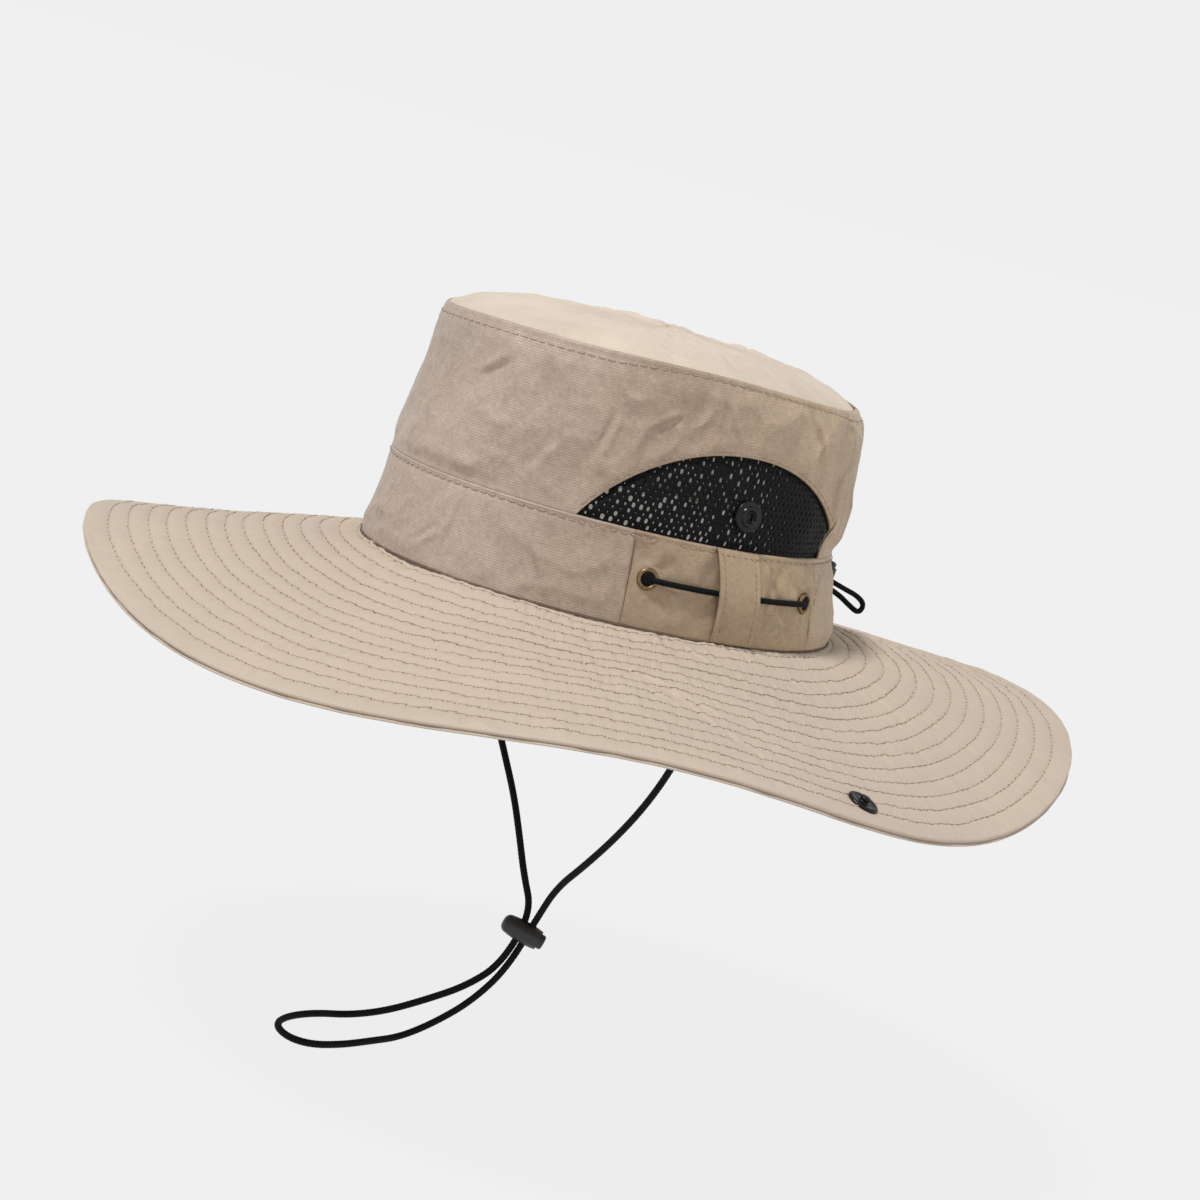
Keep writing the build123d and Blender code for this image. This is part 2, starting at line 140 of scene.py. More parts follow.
def light():
    """An even pale room, with a broad key light high on the camera's left and a softer fill."""
    world = bpy.data.worlds.new("studio")
    world.use_nodes = True
    tree = world.node_tree
    place = tree.nodes.new("ShaderNodeTexCoord")
    apart = tree.nodes.new("ShaderNodeSeparateXYZ")
    ramp = tree.nodes.new("ShaderNodeValToRGB")
    tree.links.new(place.outputs["Generated"], apart.inputs[0])
    tree.links.new(apart.outputs[2], ramp.inputs[0])
    tree.links.new(ramp.outputs[0], tree.nodes["Background"].inputs[0])
    ramp.color_ramp.elements[0].position = 0.15
    ramp.color_ramp.elements[0].color = (0.863, 0.863, 0.863, 1)
    ramp.color_ramp.elements[1].position = 0.42
    ramp.color_ramp.elements[1].color = (0.40, 0.40, 0.40, 1)
    scene.world = world
    lamps = (("key", 8, 64, 2.35, 8), ("fill", 130, 35, 0.25, 40))
    for name, azimuth, elevation, power, spread in lamps:
        data = bpy.data.lights.new(name, "SUN")
        data.energy = power
        data.angle = radians(spread)
        lamp = add(name, data)
        lamp.rotation_euler = toward(azimuth, elevation).to_track_quat("Z", "Y").to_euler()


def floor():
    """A wide pale floor under the loop of the chin cord, as bright as the room."""
    mesh = bpy.data.meshes.new("floor")
    side = 40.0
    low = FLOOR - 0.2 * MM
    corners = [(-side, -side, low), (side, -side, low), (side, side, low), (-side, side, low)]
    mesh.from_pydata(corners, [], [(0, 1, 2, 3)])
    mesh.materials.append(Nodes("paper").finish(
        1.0, Base_Color=(0.03, 0.03, 0.03, 1), Specular_IOR_Level=0.0,
        Emission_Color=(1, 1, 1, 1), Emission_Strength=0.835))
    add("floor", mesh)


# ---------------------------------------------------------------- materials


class Nodes:
    """Short names for building a material's node tree."""

    def __init__(self, name):
        self.material = bpy.data.materials.new(name)
        self.material.use_nodes = True
        self.tree = self.material.node_tree
        self.bsdf = self.tree.nodes["Principled BSDF"]
        self.place = self.tree.nodes.new("ShaderNodeTexCoord").outputs["Object"]

    def node(self, kind, **settings):
        made = self.tree.nodes.new(kind)
        for key, value in settings.items():
            setattr(made, key, value)
        return made

    def link(self, source, target):
        self.tree.links.new(source, target)

    def math(self, operation, a, b=None):
        made = self.node("ShaderNodeMath", operation=operation)
        for socket, value in zip(made.inputs, (a, b)):
            if value is None:
                continue
            if isinstance(value, (int, float)):
                socket.default_value = value
            else:
                self.link(value, socket)
        return made.outputs[0]

    def total(self, *terms):
        """The sum of (value, weight) pairs."""
        first, *others = [self.math("MULTIPLY", value, weight) for value, weight in terms]
        for term in others:
            first = self.math("ADD", first, term)
        return first

    def apart(self):
        """X, Y and Z of the shaded place."""
        made = self.node("ShaderNodeSeparateXYZ")
        self.link(self.place, made.inputs[0])
        return made.outputs

    def noise(self, scale, detail):
        made = self.node("ShaderNodeTexNoise")
        made.inputs["Scale"].default_value = scale
        made.inputs["Detail"].default_value = detail
        self.link(self.place, made.inputs["Vector"])
        return made.outputs[0]

    def wave(self, period, axis, distortion, place=None):
        """Bands across an axis, one every period metres."""
        made = self.node("ShaderNodeTexWave", bands_direction=axis)
        made.inputs["Scale"].default_value = 2 * pi / (20 * period)
        made.inputs["Distortion"].default_value = distortion
        made.inputs["Detail"].default_value = 1.0
        made.inputs["Detail Scale"].default_value = 1.2
        self.link(place or self.place, made.inputs["Vector"])
        return made.outputs[1]

    def round_place(self, radius):
        """Distance round the crown as X, height as Z."""
        x, y, z = self.apart()
        turn = self.math("ARCTAN2", y, x)
        joined = self.node("ShaderNodeCombineXYZ")
        self.link(self.math("MULTIPLY", turn, radius), joined.inputs[0])
        self.link(z, joined.inputs[2])
        return joined.outputs[0]

    def bearing_tint_and_painted_shade(self):
        """A slow shift of tint with the bearing: paler and cooler at the front, painted shade
        across the middle of the side, painted light making the rear brighter and warmer.
        """
        x, y, _ = self.apart()
        turn = self.math("ARCTAN2", y, self.math("ABSOLUTE", x))
        ramp = self.node("ShaderNodeValToRGB")
        self.link(self.math("ADD", self.math("DIVIDE", turn, pi), 0.5), ramp.inputs[0])
        stops = ramp.color_ramp.elements
        # painted shade at the middle stop, painted light (brighter, warmer) at the rear stop
        stops[0].position, stops[0].color = 0.12, (1.03, 1.04, 1.12, 1)
        stops[1].position, stops[1].color = 0.62, (1.12, 1.08, 0.97, 1)
        stops.new(0.31).color = (0.91, 0.88, 0.87, 1)
        return ramp.outputs[0]

    def colour(self, value, dark, pale, tint=None):
        """Runs a value from one colour to another, times a tint."""
        ramp = self.node("ShaderNodeValToRGB")
        ramp.color_ramp.elements[0].position = 0.25
        ramp.color_ramp.elements[1].position = 0.75
        ramp.color_ramp.elements[0].color = (*dark, 1)
        ramp.color_ramp.elements[1].color = (*pale, 1)
        self.link(value, ramp.inputs[0])
        out = ramp.outputs[0]
        if tint is not None:
            product = self.node("ShaderNodeVectorMath", operation="MULTIPLY")
            self.link(out, product.inputs[0])
            self.link(tint, product.inputs[1])
            out = product.outputs[0]
        self.link(out, self.bsdf.inputs["Base Color"])

    def bump(self, height, strength, distance):
        made = self.node("ShaderNodeBump")
        made.inputs["Strength"].default_value = strength
        made.inputs["Distance"].default_value = distance
        self.link(height, made.inputs["Height"])
        self.link(made.outputs[0], self.bsdf.inputs["Normal"])

    def finish(self, roughness, **others):
        self.bsdf.inputs["Roughness"].default_value = roughness
        for key, value in others.items():
            self.bsdf.inputs[key.replace("_", " ")].default_value = value
        return self.material


def shade(colour, factor):
    return tuple(c * factor for c in colour)


def crown_cloth(name, colour, rib=1.0 * MM, depth=0.6):
    """Light crinkled nylon: broken ribs round the crown, with a cooler front than rear, painted
    shade across the middle of its side and painted light on its rear.
    """
    n = Nodes(name)
    ribs = n.wave(rib, "Z", 1.7, n.round_place(CROWN_RADIUS))
    fuzz = n.noise(1000, 4)
    specks = n.noise(520, 2)
    worn = n.noise(26, 5)
    broken = n.math("MULTIPLY", n.math("SUBTRACT", n.noise(300, 2), 0.28), 2.0)
    ribs = n.math("MULTIPLY", ribs, broken)
    weave = n.total((ribs, 0.6), (fuzz, 0.7))
    tone = n.total((weave, 0.42), (worn, 0.32), (specks, 0.28))
    # the tint by bearing carries painted shade and painted light round the crown
    n.colour(tone, shade(colour, 0.66), shade(colour, 1.30), n.bearing_tint_and_painted_shade())
    n.bump(weave, depth, 0.32 * MM)
    return n.finish(0.55, Sheen_Weight=0.1, Sheen_Roughness=0.4)


def brim_cloth(name, colour, spread=0.09):
    """The plainer, tighter cloth of the brim and the top, cut flat, its yarns straight."""
    n = Nodes(name)
    warp, weft = n.wave(0.9 * MM, "X", 0.9), n.wave(0.9 * MM, "Y", 0.9)
    fuzz = n.noise(1200, 4)
    worn = n.noise(20, 5)
    weave = n.total((warp, 0.25), (weft, 0.25), (fuzz, 0.6))
    tone = n.total((weave, 0.5), (worn, 0.5))
    n.colour(tone, shade(colour, 1 - spread), shade(colour, 1 + spread))
    n.bump(weave, 0.5, 0.25 * MM)
    return n.finish(0.68, Sheen_Weight=0.1, Sheen_Roughness=0.5)


def fine(name, dark, pale, scale, roughness, strength=0.3, depth=0.1 * MM, **others):
    """A finish with one grain: a colour that varies a little, and a bump at the same scale."""
    n = Nodes(name)
    grain = n.noise(scale, 4)
    n.colour(grain, dark, pale)
    n.bump(grain, strength, depth)
    return n.finish(roughness, **others)


SAND = (0.515, 0.422, 0.334)
DUNE = (0.425, 0.332, 0.250)
MATERIALS = {
    "crown": crown_cloth("crown_cloth", DUNE),
    "side": crown_cloth("side_cloth", (0.385, 0.288, 0.200), 0.9 * MM, 0.35),
    "top": brim_cloth("top_cloth", (0.615, 0.52, 0.42), 0.28),
    "brim": brim_cloth("brim_cloth", SAND),
    "lining": fine("lining", (0.48, 0.465, 0.44), (0.58, 0.565, 0.54), 1400, 0.8),
    # painted shade: the welt's near-black finish stands for the shade in the crease between the
    # crown and the brim
    "seam": fine("seam", (0.085, 0.055, 0.038), (0.17, 0.115, 0.08), 900, 0.9),
    "thread": fine("thread", (0.36, 0.28, 0.21), (0.46, 0.36, 0.275), 2500, 0.7),
    "brim_thread": fine("brim_thread", (0.50, 0.41, 0.325), (0.60, 0.50, 0.40), 2500, 0.7),
    # painted shade: these two dark finishes stand for the shade in the needle holes at each
    # stitch's ends; the brim's is the lighter
    "brim_hole_painted_shade": fine("brim_hole_painted_shade", (0.27, 0.205, 0.152), (0.36, 0.28, 0.21), 2500, 0.9),
    "needle_hole_painted_shade": fine("needle_hole_painted_shade", (0.10, 0.066, 0.045), (0.17, 0.12, 0.085), 2500, 0.9),
    "mesh": fine("mesh", (0.001, 0.001, 0.001), (0.006, 0.006, 0.007), 1500, 0.6, 0.6,
                 Specular_IOR_Level=0.16),
    "cord": fine("cord", (0.0015, 0.0015, 0.0015), (0.005, 0.005, 0.0055), 3000, 0.8, 0.5,
                 Specular_IOR_Level=0.18),
    "eyelet": fine("eyelet", (0.15, 0.095, 0.045), (0.33, 0.23, 0.125), 900, 0.38, 0.15,
                   Metallic=1.0),
    "snap": fine("snap", (0.003, 0.003, 0.003), (0.008, 0.008, 0.009), 1200, 0.3, 0.1,
                 Specular_IOR_Level=0.3),
    "plastic": fine("plastic", (0.008, 0.008, 0.009), (0.020, 0.020, 0.021), 1800, 0.36, 0.25),
    "steel": fine("steel", (0.45, 0.45, 0.46), (0.62, 0.62, 0.64), 2000, 0.3, 0.1, Metallic=1.0),
}

# ---------------------------------------------------------------- meshes


def make(name, points, faces, finish, body, nodes=(), normals=None, lined=False):
    """A smooth closed mesh, on its body, standing for CAD nodes."""
    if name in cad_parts:
        name += "_detailed"
    mesh = bpy.data.meshes.new(name)
    points = np.asarray(points, float).reshape(-1, 3)
    mesh.from_pydata(points.tolist(), [], faces)
    work = bmesh.new()
    work.from_mesh(mesh)
    bmesh.ops.recalc_face_normals(work, faces=work.faces)
    work.to_mesh(mesh)
    work.free()
    mesh.shade_smooth()
    if normals is not None:
        mesh.normals_split_custom_set_from_vertices(normals.reshape(-1, 3).tolist())
    mesh.materials.append(MATERIALS[finish])
    if lined:
        mesh.materials.append(MATERIALS["lining"])
        count = len(points) // 2
        for face in mesh.polygons:
            face.material_index = int(min(face.vertices) >= count)
    piece = add(name, mesh)
    if isinstance(body, str):
        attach(piece, body)
    else:
        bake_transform(piece)
    if nodes:
        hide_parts(*nodes)
    return piece


def quads(rows, columns, wrap_rows=False, wrap_columns=False, base=0):
    """Faces of a grid of points numbered row by row."""
    faces = []
    for r in range(rows if wrap_rows else rows - 1):
        here, above = base + r * columns, base + (r + 1) % rows * columns
        for c in range(columns if wrap_columns else columns - 1):
            d = (c + 1) % columns
            faces.append((here + c, here + d, above + d, above + c))
    return faces


def tube(rows, columns, base=0):
    """Faces of a tube of points, its rows closed rings, with both ends covered."""
    last = base + (rows - 1) * columns
    return quads(rows, columns, False, True, base) + [
        tuple(range(base, base + columns)), tuple(range(last, last + columns))]


def unit(vectors):
    return vectors / np.linalg.norm(vectors, axis=-1, keepdims=True)


def distances(points):
    """How far along a line of points each of them is."""
    return np.concatenate([[0], np.cumsum(np.linalg.norm(np.diff(points, axis=0), axis=1))])


def sample(at, far, values):
    """Values given at the distances far along a line, read off at others."""
    return np.stack([np.interp(at, far, values[:, i]) for i in range(3)], -1)


def shell(name, outer, thickness, outwards, closed, finish, nodes):
    """A cloth panel with an outer face, an inner face and rims."""
    rows, columns, _ = outer.shape
    inner = outer - outwards * thickness
    count = rows * columns
    faces = quads(rows, columns, False, closed) + quads(rows, columns, False, closed, count)
    for r in (0, rows - 1):
        for c in range(columns if closed else columns - 1):
            a, b = r * columns + c, r * columns + (c + 1) % columns
            faces.append((a, b, count + b, count + a))
    if not closed:
        for c in (0, columns - 1):
            for r in range(rows - 1):
                a, b = r * columns + c, (r + 1) * columns + c
                faces.append((a, b, count + b, count + a))
    return make(name, np.concatenate([outer.reshape(-1, 3), inner.reshape(-1, 3)]), faces,
                finish, "hat", nodes, lined=True)


def lathe(name, spots, profile, finish, nodes=(), body="hat"):
    """Round parts: each spot is (origin, axis), the profile (radius, height) in mm."""
    segments = 48
    points, faces = [], []
    for origin, axis in spots:
        axis = Vector(axis).normalized()
        across = axis.orthogonal().normalized()
        along = axis.cross(across)
        base = len(points)
        rows = len(profile)
        for radius, height in profile:
            for k in range(segments):
                turn = 2 * pi * k / segments
                points.append(Vector(origin) + axis * height * MM
                              + (across * cos(turn) + along * sin(turn)) * max(radius, 0.01) * MM)
        if profile[0][0] > 0:
            faces += quads(rows, segments, True, True, base)
        else:
            faces += tube(rows, segments, base)
    return make(name, [tuple(p) for p in points], faces, finish, body, nodes)


def patch(u, v, seed, repeat=None):
    """Smooth random heights from -1 to 1 over unit cells. u repeats after so many cells."""
    size = repeat or 512
    table = np.random.default_rng(seed).uniform(-1, 1, (size, 64))
    iu, iv = np.floor(u).astype(int), np.floor(v).astype(int)
    fu, fv = u - iu, v - iv
    fu, fv = fu * fu * (3 - 2 * fu), fv * fv * (3 - 2 * fv)
    a, b = table[iu % size, iv % 64], table[(iu + 1) % size, iv % 64]
    c, d = table[iu % size, (iv + 1) % 64], table[(iu + 1) % size, (iv + 1) % 64]
    return (a * (1 - fu) + b * fu) * (1 - fv) + (c * (1 - fu) + d * fu) * fv


def ring_patch(turn, cells, level, seed):
    """patch() with its cells counted round the hat."""
    return patch(turn * cells / (2 * pi), level, seed, cells)


def bell(offset, width):
    """1 at no offset, fading over that width each way."""
    return np.exp(-((offset / width) ** 2))


def ease(value):
    """Smooth step from 0 to 1."""
    value = np.clip(value, 0, 1)
    return value * value * (3 - 2 * value)


def crumple(points, scale, seed):
    """Soft folds with sharper creases between them, from about -1 to 1."""
    shift = Vector((seed * 3.1, seed * 1.7, seed * 5.3))
    out = np.empty(len(points))
    for i, p in enumerate(points):
        q = Vector(p) / scale + shift
        warp = Vector((noise.noise(q * 1.3), noise.noise(q * 1.3 + shift), 0)) * 0.8
        fold = abs(noise.noise(q + warp))
        fine_fold = abs(noise.noise(q * 2.3 + warp * 1.5))
        where = 0.5 + noise.noise(q * 0.6 - shift)
        out[i] = 1 - 2.2 * fold - 1.1 * fine_fold * max(0.0, where)
    return out


# ---------------------------------------------------------------- the crown's oval


def half_axes(height, out=0.0):
    inset = CROWN_INSET * height / CROWN_HEIGHT
    return HALF_WIDTH - inset + out, HALF_LENGTH - inset + out


def wall(turn, height, out=0.0):
    """Points on the crown wall, or that far outside it, as an array."""
    turn, height, out = np.broadcast_arrays(turn, height, out)
    across, along = half_axes(height)
    normal = wall_normal(turn, height)
    base = np.stack([across * np.cos(turn), along * np.sin(turn), height], -1)
    return base + normal * out[..., None]


def wall_normal(turn, height=0.0):
    across, along = half_axes(np.asarray(height, float))
    x, y = along * np.cos(turn), across * np.sin(turn)
    size = np.hypot(x, y)
    return np.stack([x / size, y / size, np.zeros_like(x / size)], -1)


def near(turn, middle, width):
    """1 at a bearing in degrees, fading over so many degrees each way."""
    off = (np.degrees(turn) - middle + 180) % 360 - 180
    return bell(off, width)


def slack(turn, height):
    """Where the soft crown sags in or out of its oval, in metres."""
    z = np.asarray(height) / MM
    rear, front = near(turn, 52, 38), near(turn, -120, 45)
    far = near(turn, 128, 34)
    flare, pinch, shoulder = (bell(z - level, 9) for level in (5, 38, 99))
    return ((2.3 * flare - 3.2 * pinch - 3.2 * shoulder - 1.1) * rear + 1.5 * front
            + (1.2 * flare - 1.5 * pinch - 1.0 * shoulder) * far) * MM


def seam_rise(turn):
    """How far the top seam sits above or below its plane, in metres."""
    return (1.3 * near(turn, -18, 25) - 3.6 * near(turn, 50, 38) - 1.7 * near(turn, -120, 30)
            - 1.5 * near(turn, 130, 40)) * MM


def turn_at(y, height):
    """The bearing, to the hat's left, of a place on the wall."""
    return np.arcsin(y / half_axes(height)[1])


def wall_spot(side, turn, height, out=0.0):
    """Origin and outward axis of something seated on the wall."""
    origin, normal = wall(turn, height, out), wall_normal(turn, height)
    axis = Vector(normal) + Vector((0, 0, CROWN_INSET / CROWN_HEIGHT))
    origin, axis = Vector(origin), axis.normalized()
    origin.x *= side
    axis.x *= side
    return origin, axis


def arch(y):
    """Height of the mesh window's arched edge over the left side panel, from its y."""
    y = np.asarray(y, float) / MM
    front = circle_height(y, (-66, 36), (-43, 61), (-8, 72))
    rear = circle_height(y, (-8, 72), (29, 66), (57, 48))
    return np.where(y < -8, front, rear) * MM


def circle_height(y, a, b, c):
    """Height of the upper arc through three points."""
    (ax, ay), (bx, by), (cx, cy) = a, b, c
    d = 2 * (ax * (by - cy) + bx * (cy - ay) + cx * (ay - by))
    sa, sb, sc = ax * ax + ay * ay, bx * bx + by * by, cx * cx + cy * cy
    x = (sa * (by - cy) + sb * (cy - ay) + sc * (ay - by)) / d
    z = (sa * (cx - bx) + sb * (ax - cx) + sc * (bx - ax)) / d
    radius = hypot(ax - x, ay - z)
    return z + np.sqrt(np.maximum(radius**2 - (y - x) ** 2, 0))


WINDOW_FRONT, WINDOW_TOP_REAR, WINDOW_REAR = -66 * MM, 57 * MM, 54 * MM
WINDOW_SHOULDER = 48 * MM

# ---------------------------------------------------------------- stitching


def stitches(name, rows, finish="thread", body="hat", length=2.3 * MM,
             gap=1.1 * MM, radius=0.19 * MM, seed=1, holes=0.42,
             hole_shade_finish="needle_hole_painted_shade"):
    """Machine stitches along rows, each (points, normals, closed) and perhaps stitch marks; the
    ends of each stitch are painted shade for the needle holes.
    """
    random = np.random.default_rng(seed)
    sides = 6
    shape = ((-0.5, 0.5, -0.9), (-holes, 0.8, -0.1), (0.0, 1.0, 0.45), (holes, 0.8, -0.1),
             (0.5, 0.5, -0.9))
    all_points, faces = [], []
    for points, normals, closed, *marks in rows:
        if closed:
            points = np.concatenate([points, points[:1]])
            normals = np.concatenate([normals, normals[:1]])
        far = distances(points)
        count = max(1, int(far[-1] / (length + gap)))
        if marks:
            far, count = marks[0], int(marks[0][-1])
        pitch = far[-1] / count
        at = (np.arange(count) + 0.5 + random.uniform(-0.03, 0.03, count)) * pitch
        middle = sample(at, far, points)
        reach = 0.3 * pitch
        ahead = unit(sample(at + reach, far, points) - sample(at - reach, far, points))
        normal = unit(sample(at, far, normals))
        side = unit(np.cross(normal, ahead))
        size = length * random.uniform(0.88, 1.06, count)
        lean = random.uniform(-0.06, 0.06, count)
        for m, a, n, s, l, w in zip(middle, ahead, normal, side, size, lean):
            base = len(all_points)
            a = a + s * w
            for share, thick, rise in shape:
                centre = m + a * (l * share) + n * (radius * rise)
                for j in range(sides):
                    turn = 2 * pi * j / sides
                    all_points.append(centre + (s * cos(turn) + n * sin(turn)) * (radius * thick))
            faces += tube(len(shape), sides, base)
    piece = make(name, all_points, faces, finish, body)
    piece.data.materials.append(MATERIALS[hole_shade_finish])
    # painted shade: the end segments of each stitch take the darker hole finish, standing for the
    # shade in the needle holes
    each = sides * (len(shape) - 1) + 2
    dark = np.ones(each, int)
    dark[sides:-2 - sides] = 0
    piece.data.polygons.foreach_set("material_index", np.tile(dark, len(faces) // each))
    return piece


# ---------------------------------------------------------------- brim


HARMONICS = range(1, 8)      # of the height of the brim's edge


def edge_profile():
    """Height of the brim's top edge by turn, as a smooth periodic sum read off the CAD edge."""
    turns, heights = [], []
    for name in ("brim_upper", "left_flap_upper", "right_flap_upper"):
        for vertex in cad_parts[name].data.vertices:
            x, y, z = vertex.co
            across, along = BRIM_INNER + BRIM_SPREAD, HALF_LENGTH - BAND_FABRIC + BRIM_SPREAD
            if abs(hypot(x / across, y / along) - 1) < 2e-4:
                turns.append(atan2(y / along, x / across))
                heights.append(z)
    turns, heights = np.array(turns), np.array(heights)
    top = {}
    for turn, height in zip(np.round(turns, 3), heights):
        top[turn] = max(top.get(turn, -1.0), height)
    turns, heights = np.array(list(top)), np.array(list(top.values()))
    columns = [np.ones_like(turns)]
    for k in HARMONICS:
        columns += [np.cos(k * turns), np.sin(k * turns)]
    weights, *_ = np.linalg.lstsq(np.stack(columns, -1), heights, rcond=None)
    return weights


EDGE = edge_profile()


def edge_height(turn):
    total = EDGE[0] + 0 * turn
    for k in HARMONICS:
        total = total + EDGE[2 * k - 1] * np.cos(k * turn) + EDGE[2 * k] * np.sin(k * turn)
    return total


FIRST_ROW = 9.0       # mm from the edge to the first quilting row, and from row to row
ROW_STEP = 7.5
ROWS = 14
STITCH_PITCH = 4.4
# creases pressed into the left of the brim: two ends (x, y) and depth, in mm
CREASES = (
    ((116, -63), (146, -40), 0.7),
    ((123, -58), (156, -45), 0.7),
    ((132, -63), (142, -58), 0.6),
    ((157, -44), (171, -36), 0.9),
    ((95, -23), (107, -20), 0.9),
    ((107, -77), (114, -76), 0.9),
)


def brim_base(share, turn):
    """The brim's smooth top, from the crown's seam at share 0 to the edge at 1."""
    grow = BRIM_SPREAD * share
    x = (BRIM_INNER + grow) * np.cos(turn)
    y = (HALF_LENGTH - BAND_FABRIC + grow) * np.sin(turn)
    return x, y, share * edge_height(turn)


def brim_at(x, y):
    """Share and turn of a place on the brim."""
    low, high = -0.5, 1.5
    for _ in range(60):
        share = (low + high) / 2
        grow = BRIM_SPREAD * share
        across, along = BRIM_INNER + grow, HALF_LENGTH - BAND_FABRIC + grow
        if hypot(x / across, y / along) > 1:
            low = share
        else:
            high = share
    return share, atan2(y / along, x / across)


def row_share(row):
    return 1 - (FIRST_ROW + ROW_STEP * row) * MM / BRIM_SPREAD


def stitch_marks(row, turn):
    """Stitches sewn along each half of a quilting row, counted up to a turn."""
    fine_turn = np.linspace(-pi / 2, pi / 2, 2001)
    x, y, _ = brim_base(row_share(row), fine_turn)
    far = np.concatenate([[0], np.cumsum(np.hypot(np.diff(x), np.diff(y)))])
    count = int(far[-1] / (STITCH_PITCH * MM))
    along = (turn + pi / 2) % pi - pi / 2
    return np.interp(along, fine_turn, far / far[-1] * count), count


def quilting(share, turn, x, y, seed):
    """How far quilted cloth stands above the smooth brim, in metres."""
    inward = (1 - share) * BRIM_SPREAD / MM
    phase = (inward - FIRST_ROW) / ROW_STEP
    part = np.where(phase > 0, phase - np.floor(phase), np.clip(inward / FIRST_ROW, 0, 1))
    puff = np.sin(pi * np.clip(part, 0, 1)) ** 0.85
    loft = 0.6 + 0.2 * ring_patch(turn, 300, phase, seed)
    close = bell(np.minimum(part, 1 - part) * ROW_STEP, 2.0)
    nearest = int(np.clip(np.round(np.mean(phase)), 0, ROWS - 1))
    tug = np.cos(2 * pi * stitch_marks(nearest, turn)[0])
    pull = -0.34 * close * np.maximum(tug, -0.3)
    gather = 0.34 * ring_patch(turn, 260, inward / 9, seed + 1)
    ripple = 0.26 * patch(turn * 130 / (2 * pi) + inward / 19, inward / 26, seed + 2, 130)
    crossing = ring_patch(turn, 150, np.floor(phase), seed + 5)
    chosen = ring_patch(turn, 26, np.floor(phase), seed + 6)
    tucks = bell(crossing, 0.1) * np.maximum(0, chosen - 0.1) * puff
    edge = ease(inward / 3)
    height = (puff * loft * 0.95 - 0.35 + pull) * edge + (gather + ripple - 0.7 * tucks) * edge
    height = height + 0.9 * ring_patch(turn, 22, inward / 40, seed + 3) * ease(inward / 60)
    for (ax, ay), (bx, by), depth in CREASES:
        px, py = x / MM - ax, y / MM - ay
        run = hypot(bx - ax, by - ay)
        ux, uy = (bx - ax) / run, (by - ay) / run
        s = np.clip((px * ux + py * uy) / run, -0.2, 1.2)
        bend = 0.8 * np.sin(s * 5 + ax)
        off = px * -uy + py * ux + bend
        fade = ease((s + 0.1) * 4) * ease((1.1 - s) * 4)
        height = height - fade * depth * (bell(off, 0.7) - 0.4 * bell(off - 2.0, 1.5))
    for side in (1, -1):
        away = np.hypot(x - side * BRIM_SNAP[0], y - BRIM_SNAP[1]) / MM
        press = ease((away - 6.3) / 4.5)
        height = height * press + 0.05 * (1 - press)
    seam = ease((inward - (BRIM_SPREAD / MM - 3.6)) / 2.6)
    return (height * (1 - seam) - 0.6 * seam) * MM


def brim_top(share, turn):
    x, y, z = brim_base(share, turn)
    return np.stack([x, y, z + quilting(share, turn, x, y, 11)], -1)


def brim_under(share, turn):
    x, y, z = brim_base(share, turn)
    return np.stack([x, y, z - BRIM_THICK - 0.8 * quilting(share, turn, x, y, 51)], -1)


